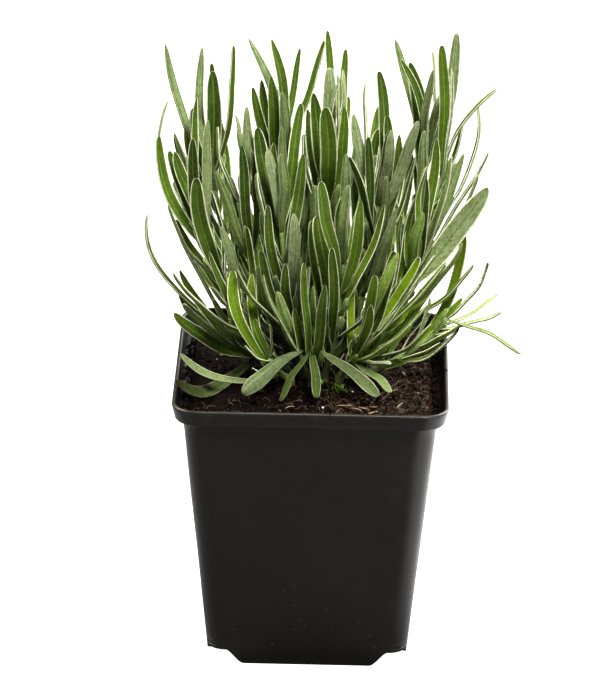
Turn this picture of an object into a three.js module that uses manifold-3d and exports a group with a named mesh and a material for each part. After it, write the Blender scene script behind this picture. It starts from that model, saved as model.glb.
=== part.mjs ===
/**
 * Potted lavender: a square nursery pot, the soil in it and the leafy shoots of one young plant.
 *
 * Millimetres, +Z up. The pot stands on z = 0. The shoots and the soil are laid out about the pot's
 * axis, and at the end the whole is moved so that the middle of its bounding box is over x = y = 0.
 */
import * as THREE from "three";
import { mergeVertices } from "three/addons/utils/BufferGeometryUtils.js";
import Module from "manifold-3d";

const wasm = await Module();
wasm.setup();

/** Clearance between separate pieces. */
const GAP = 0.35;

/** Joined leaves are moved on rather than leave an edge shorter than this. */
const SHORTEST_EDGE = 0.004;

/** Square pot, 9 cm over its rim. Half widths are measured from the axis to a side. */
const POT = {
  height: 95.9,
  footHalf: 33.3,
  neckHalf: 41.4,
  rimHalf: 45,
  rimHeight: 5.9,
  rimWall: 1.4,
  wall: 1.1,
  cornerRadius: 8,
  floorUnderside: 5,
  floorThickness: 1.2,
  skirtHalf: 21.5,
  skirtShoulder: 27,
  drainRadius: 3.5,
  drainSpacing: 19,
};

/** Soil: its level at the wall, the low mound round the plant and the depth of the stem holes. */
const SOIL = { level: 88.4, mound: 2.6, moundRadius: 22, relief: 0.55, cells: 12, holeDepth: 16 };

/** Sides of a stem hole in the soil. */
const HOLE_SIDES = 6;

/** Stem radii at the foot and at the growing tip, and the number of sides of a stem. */
const STEM = {
  footRadius: 1.35,
  tipRadius: 0.7,
  sides: 5,
  rings: 4,
  collar: 2.2,
  reachOut: 0.7,
  riseFirst: 0.36,
};

/** Leaf blade: depth of its keel and depth of the groove above the midrib. */
const BLADE = { keel: 1.2, groove: 0.12 };

/**
 * Leaf pairs placed by rule: spacing up the stem, lengths and widths, the outward lean in degrees,
 * and the places and widths of a blade's sections as shares of its length and width.
 */
const PAIRS = {
  spacing: 10.7,
  firstHeight: 8,
  shortest: 20,
  longest: 38,
  width: 3.6,
  lowLean: 52,
  highLean: 16,
  recurve: 24,
  stations: [0, 0.4, 0.88],
  widths: [0.24, 1, 0.82],
};

/**
 * Prominent leaves: the longest that one is, how far it bows outwards and how much it sags, and the
 * places and widths of a blade's sections.
 */
const NAMED = {
  reach: 46,
  bow: 0.1,
  sag: 0.06,
  stations: [0, 0.26, 0.62, 0.94],
  widths: [0.24, 0.82, 1, 0.7],
};

/** Ways that a blade's tip may be moved, in this order, until it is clear of the other shoots. */
const NUDGES = [
  [0, 0, 0], [0, -2, 1], [0, 2, -1], [0, -5, 2], [0, 5, -2], [0, -8, 3], [0, 8, -3], [1, -11, 4],
  [-1, 11, -4], [-3, -2, 0], [3, 2, 0], [5, -4, 2], [-5, 4, 2], [-6, -5, 3], [6, 5, 3],
];

/** Directions that a blade's upper face can look in. */
const FRONT = [0, -1, 0.3];
const BACK = [0, 1, 0.3];
const LEFT = [-1, 0, 0.3];
const RIGHT = [1, 0, 0.3];
const LEFT_FRONT = [-1, -1, 0.3];
const RIGHT_FRONT = [1, -1, 0.3];
const LEFT_BACK = [-1, 1, 0.3];
const UP = [0, 0, 1];
const UP_FRONT = [0, -1, 1];
const UP_LEFT = [-1, 0, 1];
const UP_RIGHT = [1, 0, 1];
const DOWN_BACK = [0, 1, -1];

/**
 * The shoots. Each has the place of its foot, the top of its stem and its most prominent leaves,
 * given by tip, width and the direction that the upper face looks in. A leaf may bow, sag or reach
 * differently from NAMED, and a shoot may rise differently from STEM or have its own number of pairs.
 */
const SHOOTS = [
  {
    name: "shoot_left_rear", foot: [-9, 6], top: [-35, 11, 158],
    leaves: [
      { tip: [-50, 14, 201], width: 3.2, face: LEFT_BACK, bow: 0.1 },
      { tip: [-38, 22, 197], width: 2.9, face: BACK },
      { tip: [-34, 12, 192], width: 5.2, face: FRONT, bow: 0 },
      { tip: [-43, 13, 172], width: 3.2, face: FRONT },
      { tip: [-27, 9, 202], width: 2.6, face: RIGHT_FRONT, bow: -0.1, reach: 50 },
      { tip: [-38, 16, 136], width: 4.0, face: BACK },
    ],
  },
  {
    name: "shoot_left_front", foot: [-8, -2], top: [-36, -3, 144],
    leaves: [
      { tip: [-51, -1, 174], width: 4.3, face: RIGHT_FRONT, bow: 0.2 },
      { tip: [-40, -13, 178], width: 3.9, face: FRONT },
      { tip: [-48, 6, 184], width: 2.5, face: RIGHT, bow: 0.34, reach: 52 },
      { tip: [-38, -15, 165], width: 5.2, face: FRONT },
      { tip: [-35, -5, 182], width: 3.2, face: BACK, bow: 0.04 },
      { tip: [-39, 4, 186], width: 3.3, face: LEFT_FRONT },
    ],
  },
  {
    name: "shoot_left_inner", foot: [-5, 3], top: [-25, 4, 150],
    leaves: [
      { tip: [-24, -5, 173], width: 3.6, face: FRONT, bow: 0 },
      { tip: [-23, 13, 180], width: 3.3, face: BACK, bow: 0 },
      { tip: [-20, 1, 175], width: 3.6, face: LEFT_FRONT, bow: -0.05 },
    ],
  },
  {
    name: "shoot_centre_left", foot: [-4, 9], top: [-12, 12, 160],
    leaves: [
      { tip: [2, 10, 204], width: 3.2, face: LEFT_FRONT, bow: 0.1 },
      { tip: [-23, 24, 200], width: 3.2, face: BACK, bow: -0.34 },
      { tip: [-15, 16, 202], width: 4.3, face: RIGHT_FRONT, bow: -0.24 },
      { tip: [-21, 12, 187], width: 3.5, face: FRONT, bow: 0 },
      { tip: [-15, 6, 193], width: 3.9, face: FRONT, bow: 0 },
      { tip: [-6, 26, 196], width: 2.5, face: FRONT },
      { tip: [-2, 24, 151], width: 4.2, face: BACK, bow: 0 },
    ],
  },
  {
    name: "shoot_centre_left_front", foot: [-3, -3], top: [-11, -5, 146],
    leaves: [
      { tip: [-19, -2, 178], width: 5.2, face: FRONT, bow: 0 },
      { tip: [-11, -5, 180], width: 3.2, face: BACK, bow: 0 },
      { tip: [-15, -14, 156], width: 3.4, face: FRONT },
      { tip: [-9, -20, 138], width: 3.4, face: FRONT },
      { tip: [-17, -19, 142], width: 3.2, face: FRONT },
      { tip: [-5, 0, 186], width: 3.8, face: FRONT, bow: 0 },
      { tip: [-4, -2, 169], width: 3.9, face: FRONT, bow: 0 },
    ],
  },
  {
    name: "shoot_centre", foot: [2, 4], top: [5, 4, 168],
    leaves: [
      { tip: [3, 15, 206], width: 2.8, face: FRONT },
      { tip: [4, 4, 197], width: 4.7, face: BACK, bow: 0 },
      { tip: [9, 17, 199], width: 2.9, face: FRONT },
      { tip: [-1, -4, 191], width: 4.8, face: FRONT, bow: 0 },
      { tip: [3, -12, 189], width: 5.7, face: FRONT },
      { tip: [9, -7, 188], width: 3.8, face: FRONT },
      { tip: [-3, 16, 178], width: 4.2, face: FRONT, bow: 0 },
    ],
  },
  {
    name: "shoot_centre_front", foot: [4, -4], top: [10, -14, 136],
    leaves: [
      { tip: [2, -27, 169], width: 5.8, face: RIGHT_FRONT },
      { tip: [10, -11, 173], width: 3.8, face: BACK, bow: 0 },
      { tip: [15, -24, 162], width: 3.8, face: FRONT },
      { tip: [1, -23, 156], width: 5.3, face: FRONT },
      { tip: [6, -20, 144], width: 3.4, face: FRONT },
    ],
  },
  {
    name: "shoot_right_centre", foot: [8, 4], top: [21, 3, 150],
    leaves: [
      { tip: [12, 8, 180], width: 4.2, face: BACK, bow: 0 },
      { tip: [20, 18, 191], width: 3.8, face: FRONT, bow: 0.14 },
      { tip: [16, 13, 189], width: 2.6, face: RIGHT, bow: -0.08 },
      { tip: [23, 6, 180], width: 3.9, face: FRONT },
      { tip: [17, -3, 176], width: 3.1, face: FRONT, bow: 0 },
      { tip: [27, 0, 176], width: 3.6, face: FRONT },
      { tip: [33, -6, 183], width: 3.9, face: BACK, bow: 0 },
      { tip: [11, -19, 175], width: 3.9, face: LEFT_FRONT, bow: 0.16 },
      { tip: [23, -12, 166], width: 3.1, face: BACK },
      { tip: [12, 12, 164], width: 4.4, face: FRONT, bow: 0 },
    ],
  },
  {
    name: "shoot_right_front", foot: [13, 0], top: [34, -6, 138],
    leaves: [
      { tip: [39, -9, 178], width: 3.5, face: FRONT, bow: 0.05 },
      { tip: [35, -4, 179], width: 3.4, face: BACK, bow: 0 },
      { tip: [36, -16, 167], width: 3.6, face: LEFT_FRONT },
      { tip: [56, -10, 162], width: 7.2, face: FRONT, bow: 0.02 },
      { tip: [48, -3, 171], width: 3.1, face: BACK, bow: 0.02 },
      { tip: [44, -12, 173], width: 2.9, face: RIGHT },
    ],
  },
  {
    name: "shoot_right_rear", foot: [13, 8], top: [37, 12, 166],
    leaves: [
      { tip: [45, 15, 206], width: 3.8, face: BACK, bow: 0.1 },
      { tip: [30, 11, 197], width: 5.6, face: FRONT },
      { tip: [25, 22, 201], width: 3.3, face: LEFT_BACK, bow: 0.04 },
      { tip: [27, 5, 200], width: 3.1, face: RIGHT_FRONT, bow: 0.2 },
      { tip: [37, 20, 198], width: 3.1, face: LEFT },
    ],
  },
  {
    name: "shoot_right_outer", foot: [17, 4], top: [41, 3, 160], pairs: 5,
    leaves: [
      { tip: [40, 4, 205], width: 3.7, face: FRONT, bow: 0.04 },
      { tip: [58, -2, 193], width: 2.7, face: UP_LEFT, bow: -0.14, sag: -0.2 },
      { tip: [43, -4, 200], width: 3.3, face: LEFT, bow: 0.04 },
      { tip: [52, 14, 182], width: 2.9, face: LEFT, bow: 0.26 },
      { tip: [56, 7, 168], width: 2.8, face: UP_LEFT, bow: 0 },
    ],
  },
  {
    name: "shoot_front_right", foot: [9, -8], top: [19, -17, 117], rise: 0.55,
    leaves: [
      { tip: [26, -25, 145], width: 4.4, face: UP_FRONT },
      { tip: [20, -29, 138], width: 3.6, face: UP_FRONT },
      { tip: [19, -26, 127], width: 3.4, face: UP_FRONT },
      { tip: [39, -17, 141], width: 3.1, face: UP_LEFT, bow: 0 },
      { tip: [43, -13, 137], width: 2.7, face: UP_LEFT, bow: 0 },
      { tip: [37, -18, 124], width: 3.1, face: UP_LEFT, bow: 0, sag: 0.2 },
      { tip: [33, -22, 132], width: 2.9, face: UP_LEFT, bow: 0 },
      { tip: [26, -28, 97], width: 3.5, face: UP, sag: -0.1 },
      { tip: [26, -18, 103], width: 2.7, face: UP, sag: -0.06 },
    ],
  },
  {
    name: "shoot_right_low", foot: [15, -5], top: [44, 2, 111], pairs: 1,
    leaves: [
      { tip: [57, 8, 129], width: 3.6, face: LEFT, bow: 0.16, reach: 24 },
      { tip: [61, 17, 114], width: 1.9, face: UP, reach: 26 },
      { tip: [62, 5, 113], width: 1.9, face: UP, reach: 22 },
      { tip: [69, -3, 101], width: 2.1, face: UP, reach: 24, sag: -0.1 },
      { tip: [48, -6, 112], width: 2.8, face: UP_LEFT, reach: 26, sag: 0.3 },
      { tip: [49, 3, 141], width: 3.8, face: LEFT_FRONT, reach: 44, bow: 0.16 },
      { tip: [38, -7, 122], width: 3.2, face: UP_LEFT, reach: 26 },
    ],
  },
  {
    name: "shoot_left_low", foot: [-13, 1], top: [-28, 5, 108], pairs: 1,
    leaves: [
      { tip: [-55, 9, 143], width: 3.4, face: UP_RIGHT, bow: 0.36, reach: 50 },
      { tip: [-44, -2, 128], width: 2.8, face: UP_FRONT, bow: 0.14 },
      { tip: [-46, 2, 111], width: 4.4, face: UP_FRONT, sag: 0.16 },
      { tip: [-45, 17, 112], width: 3.9, face: UP_FRONT, sag: 0.14 },
      { tip: [-44, -25, 98], width: 5.0, face: UP_FRONT, sag: 0.36, reach: 54 },
      { tip: [-45, 14, 135], width: 2.5, face: UP_RIGHT, bow: 0.05, reach: 54 },
    ],
  },
  {
    name: "shoot_front_left", foot: [-7, -10], top: [-14, -16, 103], pairs: 0,
    leaves: [
      { tip: [-26, -17, 134], width: 4.2, face: FRONT, bow: 0.26 },
      { tip: [-20, -9, 130], width: 3.6, face: FRONT, bow: 0.22 },
      { tip: [-43, -16, 104], width: 2.9, face: UP_FRONT, sag: 0.3 },
      { tip: [-34, -5, 136], width: 2.6, face: FRONT, bow: 0.1 },
    ],
  },
  {
    name: "shoot_front", foot: [0, -9], top: [0, -12, 106],
    leaves: [
      { tip: [-22, -28, 95], width: 6.4, face: DOWN_BACK, sag: -0.12, reach: 15 },
      { tip: [22, -27, 95], width: 4.7, face: UP_FRONT, sag: -0.08, reach: 15 },
      { tip: [2, -29, 95], width: 3.4, face: UP, sag: -0.08, reach: 15 },
      { tip: [-10, -30, 94], width: 2.6, face: UP, sag: -0.08, reach: 15 },
      { tip: [-6, -16, 121], width: 3.7, face: RIGHT_FRONT },
      { tip: [4, -25, 133], width: 3.6, face: FRONT },
      { tip: [-3, -22, 139], width: 3.3, face: RIGHT_FRONT },
    ],
  },
  {
    name: "shoot_back_left", foot: [-5, 15], top: [-20, 30, 138],
    leaves: [
      { tip: [-29, 26, 137], width: 4.2, face: BACK, reach: 36 },
      { tip: [-25, 23, 126], width: 4.0, face: BACK, reach: 32 },
      { tip: [-10, 24, 150], width: 4.2, face: BACK, bow: 0, reach: 42 },
    ],
  },
  {
    name: "shoot_back_right", foot: [8, 13], top: [19, 31, 140],
    leaves: [
      { tip: [26, 26, 139], width: 4.2, face: BACK, bow: 0, reach: 36 },
    ],
  },
  {
    name: "shoot_back", foot: [1, 17], top: [0, 34, 122],
    leaves: [
      { tip: [-6, 28, 135], width: 4.0, face: BACK, bow: 0, reach: 36 },
    ],
  },
];

const FINISHES = {
  pot: new THREE.MeshStandardMaterial({ color: 0x1c1d1e, roughness: 0.5, metalness: 0 }),
  soil: new THREE.MeshStandardMaterial({ color: 0x2c1e16, roughness: 1, metalness: 0 }),
  shoot: new THREE.MeshStandardMaterial({ color: 0x86a067, roughness: 0.75, metalness: 0 }),
};

/** Repeatable draws from 0 to 1, by a linear congruential rule. */
class Draws {
  constructor(seed) {
    this.state = seed;
  }

  next() {
    this.state = (this.state * 1664525 + 1013904223) % 4294967296;
    return this.state / 4294967296;
  }

  /** A draw from -spread to +spread. */
  about(spread) {
    return (2 * this.next() - 1) * spread;
  }
}

/** Closed solid of a geometry whose faces point out. */
function toSolid(geometry) {
  const bare = geometry.clone();
  bare.deleteAttribute("normal");
  bare.deleteAttribute("uv");
  const merged = mergeVertices(bare, 1e-4);
  const vertProperties = new Float32Array(merged.getAttribute("position").array);
  const triVerts = new Uint32Array(merged.getIndex().array);
  return new wasm.Manifold(new wasm.Mesh({ numProp: 3, vertProperties, triVerts }));
}

/** Geometry of a solid's largest body: sealed hollows are filled and loose scraps are dropped. */
function toGeometry(solid) {
  const bodies = solid.decompose();
  const body = bodies.reduce((largest, one) => (one.volume() > largest.volume() ? one : largest));
  const mesh = body.getMesh();
  const geometry = new THREE.BufferGeometry();
  geometry.setAttribute("position", new THREE.BufferAttribute(new Float32Array(mesh.vertProperties), 3));
  geometry.setIndex(new THREE.BufferAttribute(new Uint32Array(mesh.triVerts), 1));
  geometry.computeVertexNormals();
  return geometry;
}

/** Solid through rings of equally many points, closed by a fan at each end. */
function loft(rings, endPoint) {
  const count = rings[0].length;
  const points = rings.flat();
  const faces = [];
  for (let ring = 0; ring + 1 < rings.length; ring++) {
    for (let i = 0; i < count; i++) {
      const a = ring * count + i;
      const b = ring * count + ((i + 1) % count);
      faces.push(a, b, b + count, a, b + count, a + count);
    }
  }
  const last = (rings.length - 1) * count;
  const startCentre = points.push(middle(rings[0])) - 1;
  const endCentre = points.push(endPoint ?? middle(rings.at(-1))) - 1;
  for (let i = 0; i < count; i++) {
    const next = (i + 1) % count;
    faces.push(startCentre, next, i, endCentre, last + i, last + next);
  }
  const geometry = new THREE.BufferGeometry().setFromPoints(points);
  geometry.setIndex(faces);
  return toSolid(geometry);
}

/** Mean of some points. */
function middle(points) {
  const sum = points.reduce((total, point) => total.add(point), new THREE.Vector3());
  return sum.divideScalar(points.length);
}

/** Corner-rounded square at one height, anticlockwise from above. */
function roundedSquare(half, radius, z, steps = 4) {
  const points = [];
  for (let corner = 0; corner < 4; corner++) {
    const turn = (corner * Math.PI) / 2;
    for (let step = 0; step <= steps; step++) {
      const angle = turn + (step / steps) * (Math.PI / 2);
      const centre = new THREE.Vector2(half - radius, half - radius).rotateAround(new THREE.Vector2(), turn);
      points.push(new THREE.Vector3(
        centre.x + radius * Math.cos(angle),
        centre.y + radius * Math.sin(angle),
        z,
      ));
    }
  }
  return points;
}

/** Upright post of round section from z0 to z1. */
function post(x, y, radius, z0, z1, sides) {
  const geometry = new THREE.CylinderGeometry(radius, radius, z1 - z0, sides);
  geometry.rotateX(Math.PI / 2);
  geometry.translate(x, y, (z0 + z1) / 2);
  return toSolid(geometry);
}

/** Half width over the outside of the pot's wall at a height. */
function wallHalf(z) {
  const rimBottom = POT.height - POT.rimHeight;
  return THREE.MathUtils.lerp(POT.footHalf, POT.neckHalf, z / rimBottom);
}

/** Half width of the space inside the pot at a height below the rim. */
function insideHalf(z) {
  return wallHalf(z) - POT.wall;
}

/** The pot: tapered wall, stepped rim, raised floor with drain holes and a foot under each side. */
function makePot() {
  const radius = POT.cornerRadius;
  const top = POT.height;
  const rimBottom = top - POT.rimHeight;
  const floorTop = POT.floorUnderside + POT.floorThickness;
  const outside = loft([
    roundedSquare(wallHalf(0), radius - 1, 0),
    roundedSquare(wallHalf(rimBottom), radius, rimBottom - 0.3),
    roundedSquare(POT.rimHalf - 1.6, radius + 0.4, rimBottom),
    roundedSquare(POT.rimHalf - 1, radius + 0.5, rimBottom + 1),
    roundedSquare(POT.rimHalf, radius + 0.5, top - 0.7),
    roundedSquare(POT.rimHalf - 0.35, radius + 0.3, top),
  ]);
  const inside = loft([
    roundedSquare(insideHalf(floorTop), radius - 2, floorTop),
    roundedSquare(insideHalf(rimBottom), radius - 1, rimBottom - 0.2),
    roundedSquare(POT.rimHalf - 1 - POT.rimWall, radius - 1, rimBottom + 0.8),
    roundedSquare(POT.rimHalf - POT.rimWall, radius - 1, top + 1),
  ]);
  const underside = loft([
    roundedSquare(wallHalf(0) - POT.rimWall, radius - 2, -1),
    roundedSquare(wallHalf(POT.floorUnderside) - POT.rimWall, radius - 2, POT.floorUnderside),
  ]);
  let pot = outside.subtract(inside).subtract(underside);
  for (const [sx, sy] of [[1, 1], [-1, 1], [-1, -1], [1, -1]]) {
    pot = pot.subtract(cornerNotch(sx, sy));
    pot = pot.subtract(drain(sx * POT.drainSpacing, sy * POT.drainSpacing));
  }
  return pot.subtract(drain(0, 0));
}

/** What is cut away under one corner of the pot, so that a foot with sloping ends stays on each side. */
function cornerNotch(sx, sy) {
  const far = POT.rimHalf;
  const heights = [-1, 0.4, 3.4, POT.floorUnderside];
  const nears = [POT.skirtHalf, POT.skirtHalf + 0.6, POT.skirtShoulder - 1.6, POT.skirtShoulder];
  const rings = heights.map((z, i) => {
    const near = nears[i];
    const square = [[near, near], [far, near], [far, far], [near, far]];
    const points = square.map(([x, y]) => new THREE.Vector3(sx * x, sy * y, z));
    return sx * sy > 0 ? points : points.reverse();
  });
  return loft(rings);
}

/** Cutter for one drain hole in the floor. */
function drain(x, y) {
  const below = POT.floorUnderside - 1;
  return post(x, y, POT.drainRadius, below, below + POT.floorThickness + 2, 12);
}

/** Height of the soil's surface at a place. */
function soilHeight(x, y) {
  const mound = SOIL.mound * Math.exp(-(x * x + y * y) / (2 * SOIL.moundRadius ** 2));
  const waves = Math.sin(0.31 * x + 1.7) * Math.cos(0.27 * y - 0.6) + 0.6 * Math.sin(0.53 * x - 0.47 * y);
  return SOIL.level + mound + SOIL.relief * waves;
}

/** Block whose top is the soil's surface. */
function soilBlock(bottom) {
  const half = POT.neckHalf;
  const cells = SOIL.cells;
  const side = cells + 1;
  const points = [];
  for (let j = 0; j <= cells; j++) {
    for (let i = 0; i <= cells; i++) {
      const x = THREE.MathUtils.lerp(-half, half, i / cells);
      const y = THREE.MathUtils.lerp(-half, half, j / cells);
      points.push(new THREE.Vector3(x, y, soilHeight(x, y)));
    }
  }
  const faces = [];
  for (let j = 0; j < cells; j++) {
    for (let i = 0; i < cells; i++) {
      const a = j * side + i;
      faces.push(a, a + 1, a + side + 1, a, a + side + 1, a + side);
    }
  }
  const border = [];
  for (let i = 0; i < cells; i++) border.push(i);
  for (let j = 0; j < cells; j++) border.push(j * side + cells);
  for (let i = cells; i > 0; i--) border.push(cells * side + i);
  for (let j = cells; j > 0; j--) border.push(j * side);
  const base = points.length;
  for (const index of border) {
    points.push(new THREE.Vector3(points[index].x, points[index].y, bottom));
  }
  const centre = points.push(new THREE.Vector3(0, 0, bottom)) - 1;
  border.forEach((index, i) => {
    const next = (i + 1) % border.length;
    faces.push(base + i, base + next, border[next], base + i, border[next], index);
    faces.push(centre, base + next, base + i);
  });
  const geometry = new THREE.BufferGeometry().setFromPoints(points);
  geometry.setIndex(faces);
  return toSolid(geometry);
}

/** The soil: it fills the pot to just under the rim and has a plain hole for each stem. */
function makeSoil() {
  const bottom = POT.floorUnderside + POT.floorThickness + GAP;
  const top = POT.height;
  const radius = POT.cornerRadius - 2;
  const fill = loft([
    roundedSquare(insideHalf(bottom) - GAP, radius, bottom),
    roundedSquare(insideHalf(top - POT.rimHeight) - GAP, radius + 1, top - POT.rimHeight - 0.2),
    roundedSquare(insideHalf(top - POT.rimHeight) - GAP, radius + 1, top),
  ]);
  let soil = fill.intersect(soilBlock(bottom - 1));
  for (const { foot: [x, y] } of SHOOTS) {
    const surface = soilHeight(x, y);
    const radiusOfHole = (STEM.footRadius + GAP) / Math.cos(Math.PI / HOLE_SIDES);
    soil = soil.subtract(post(x, y, radiusOfHole, surface - SOIL.holeDepth, surface + 5, HOLE_SIDES));
  }
  return soil;
}

/** Centre line of a stem above the soil: it rises out of its hole and leans over to its top. */
function stemLine({ foot: [x, y], top, rise }) {
  const start = new THREE.Vector3(x, y, soilHeight(x, y) + STEM.collar);
  const end = new THREE.Vector3(...top);
  const bend = start.clone().lerp(end, STEM.reachOut);
  bend.z = THREE.MathUtils.lerp(start.z, end.z, rise ?? STEM.riseFirst);
  return new THREE.QuadraticBezierCurve3(start, bend, end);
}

/** A tapering stem, upright in the soil and then along its line. */
function makeStem(shoot) {
  const line = stemLine(shoot);
  const [x, y] = shoot.foot;
  const foot = new THREE.Vector3(x, y, soilHeight(x, y) - SOIL.holeDepth + GAP);
  const rings = [stemRing(foot, new THREE.Vector3(0, 0, 1), STEM.footRadius)];
  for (let i = 0; i <= STEM.rings; i++) {
    const t = i / STEM.rings;
    const along = i === 0 ? new THREE.Vector3(0, 0, 1) : line.getTangent(t);
    rings.push(stemRing(line.getPoint(t), along, THREE.MathUtils.lerp(STEM.footRadius, STEM.tipRadius, t)));
  }
  return loft(rings);
}

/** Ring of a stem's section, square to its direction. */
function stemRing(centre, along, radius) {
  const side = new THREE.Vector3(0, 1, 0).cross(along).normalize();
  const across = along.clone().cross(side);
  const points = [];
  for (let i = 0; i < STEM.sides; i++) {
    const angle = (i / STEM.sides) * 2 * Math.PI;
    points.push(centre.clone()
      .addScaledVector(side, radius * Math.cos(angle))
      .addScaledVector(across, radius * Math.sin(angle)));
  }
  return points;
}

/** Share of a stem's line where a prominent leaf grows out, so that the leaf isn't overlong. */
function rootShare(line, tip, reach) {
  for (let step = 6; step < 20; step++) {
    if (line.getPoint(step / 20).distanceTo(tip) < reach) {
      return step / 20;
    }
  }
  return 1;
}

/** The prominent leaves of a shoot, as blades that bow outwards between base and tip. */
function namedBlades(shoot) {
  const line = stemLine(shoot);
  return shoot.leaves.map((leaf) => {
    const { reach, bow, sag, width, face } = { ...NAMED, ...leaf };
    const tip = new THREE.Vector3(...leaf.tip);
    const base = line.getPoint(rootShare(line, tip, reach));
    const length = base.distanceTo(tip);
    const outward = new THREE.Vector3(tip.x, tip.y, 0).normalize();
    const control = base.clone().lerp(tip, 0.5).addScaledVector(outward, bow * length);
    control.z -= sag * length;
    return { base, control, tip, width, face: new THREE.Vector3(...face), form: NAMED };
  });
}

/** Opposite pairs of leaves up a shoot, each pair a quarter turn on from the one below it. */
function pairedBlades(shoot, seed) {
  const draws = new Draws(seed);
  const line = stemLine(shoot);
  const length = line.getLength();
  const room = Math.floor((length - PAIRS.firstHeight) / PAIRS.spacing) + 1;
  const pairs = shoot.pairs ?? room;
  const blades = [];
  for (let pair = 0; pair < pairs; pair++) {
    const share = (PAIRS.firstHeight + pair * PAIRS.spacing) / length;
    const turn = (pair * Math.PI) / 2 + seed + draws.about(0.25);
    for (const side of [0, Math.PI]) {
      blades.push(ruledBlade(line, share, turn + side, draws));
    }
  }
  if (pairs === room) {
    for (const turn of [0, Math.PI]) {
      blades.push(ruledBlade(line, 1, turn + seed, draws));
    }
  }
  return blades;
}

/** One leaf placed by rule: it leans out of the stem and curves up. */
function ruledBlade(line, share, turn, draws) {
  const base = line.getPoint(share);
  const along = line.getTangent(share);
  const side = new THREE.Vector3(0, 1, 0).cross(along).normalize();
  const out = side.applyAxisAngle(along, turn);
  const middling = Math.sin(Math.PI * (0.15 + 0.65 * share));
  const length = THREE.MathUtils.lerp(PAIRS.shortest, PAIRS.longest, middling) * (1 + draws.about(0.14));
  const lean = THREE.MathUtils.lerp(PAIRS.lowLean, PAIRS.highLean, share) + draws.about(8);
  const recurve = PAIRS.recurve * (0.6 + draws.next());
  const first = leaning(along, out, lean);
  const second = leaning(along, out, lean - recurve);
  second.z += 0.35;
  second.normalize();
  const control = base.clone().addScaledVector(first, length / 2);
  const tip = control.clone().addScaledVector(second, length / 2);
  const face = out.clone().negate();
  face.z += 0.4;
  const width = PAIRS.width * (1 + draws.about(0.16));
  return { base, control, tip, width, face, form: PAIRS };
}

/** Direction that leans from one direction towards another by an angle in degrees. */
function leaning(along, out, degrees) {
  const angle = THREE.MathUtils.degToRad(degrees);
  return along.clone().multiplyScalar(Math.cos(angle)).addScaledVector(out, Math.sin(angle));
}

/** A blade whose tip is moved a little, with its middle following. */
function nudged(blade, [dx, dy, dz]) {
  const shift = new THREE.Vector3(dx, dy, dz);
  return {
    ...blade,
    control: blade.control.clone().addScaledVector(shift, 0.5),
    tip: blade.tip.clone().add(shift),
  };
}

/** Solid of a blade: narrow at its base, widest past its middle, grooved above and keeled below. */
function makeBlade({ base, control, tip, width, face, form }, firstRing = 0) {
  const line = new THREE.QuadraticBezierCurve3(base, control, tip);
  const rings = form.stations.map((t, i) => {
    const centre = line.getPoint(t);
    const along = line.getTangent(t);
    const across = along.clone().cross(face).normalize();
    const normal = across.clone().cross(along);
    const half = (width / 2) * form.widths[i];
    const keel = BLADE.keel * Math.min(1, 0.55 + form.widths[i] / 2);
    return [
      centre.clone().addScaledVector(across, half),
      centre.clone().addScaledVector(normal, -keel),
      centre.clone().addScaledVector(across, -half),
      centre.clone().addScaledVector(normal, -BLADE.groove),
    ];
  });
  return loft(rings.slice(firstRing), tip);
}

/** Length of the shortest edge of a solid. */
function shortestEdge(solid) {
  const { vertProperties, triVerts } = solid.getMesh();
  const corner = (index) => new THREE.Vector3().fromArray(vertProperties, 3 * index);
  let shortest = Infinity;
  for (let i = 0; i < triVerts.length; i += 3) {
    const [a, b, c] = [corner(triVerts[i]), corner(triVerts[i + 1]), corner(triVerts[i + 2])];
    shortest = Math.min(shortest, a.distanceTo(b), b.distanceTo(c), c.distanceTo(a));
  }
  return shortest;
}

/** Whether a solid keeps a clearance to every one of some pieces. */
function isClear(solid, pieces, gap) {
  const box = solid.boundingBox();
  return pieces.every((piece) => {
    const near = [0, 1, 2].every((axis) => (
      box.min[axis] - gap < piece.box.max[axis] && box.max[axis] + gap > piece.box.min[axis]
    ));
    return !near || solid.minGap(piece.solid, 2 * gap) > gap;
  });
}

/** What has been planted so far: the pot, the soil and, for each shoot, its stem and its leaves. */
class Planting {
  constructor(pot, soil) {
    this.pieces = [];
    this.outerBlades = [];
    this.shoots = new Map();
    this.keep(this.pieces, pot, "pot");
    this.keep(this.pieces, soil, "soil");
  }

  keep(list, solid, owner) {
    list.push({ solid, owner, box: solid.boundingBox() });
  }

  addStem(shoot) {
    const stem = makeStem(shoot);
    this.keep(this.pieces, stem, shoot.name);
    this.shoots.set(shoot.name, stem);
  }

  /** Adds a leaf, bent clear of the other shoots and of its own shoot's leaves, or leaves it out. */
  addLeaf(owner, blade) {
    const strangers = this.pieces.filter((piece) => piece.owner !== owner);
    const sisters = this.outerBlades.filter((piece) => piece.owner === owner);
    for (const shift of NUDGES) {
      const bent = nudged(blade, shift);
      const whole = makeBlade(bent);
      const outer = makeBlade(bent, 1);
      if (isClear(whole, strangers, GAP) && isClear(outer, sisters, GAP)) {
        const grown = this.shoots.get(owner).add(whole);
        if (shortestEdge(grown) > SHORTEST_EDGE) {
          this.keep(this.pieces, whole, owner);
          this.keep(this.outerBlades, outer, owner);
          this.shoots.set(owner, grown);
          return;
        }
      }
    }
  }
}

/** Solids of the shoots by name: all stems first, then the prominent leaves, then the pairs. */
function makeShoots(pot, soil) {
  const planting = new Planting(pot, soil);
  for (const shoot of SHOOTS) {
    planting.addStem(shoot);
  }
  for (const shoot of SHOOTS) {
    namedBlades(shoot).forEach((blade) => planting.addLeaf(shoot.name, blade));
  }
  SHOOTS.forEach((shoot, index) => {
    pairedBlades(shoot, index + 1).forEach((blade) => planting.addLeaf(shoot.name, blade));
  });
  return planting.shoots;
}

/** A named mesh of one piece. */
function namedMesh(name, solid, finish) {
  const mesh = new THREE.Mesh(toGeometry(solid), finish);
  mesh.name = name;
  return mesh;
}

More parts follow.
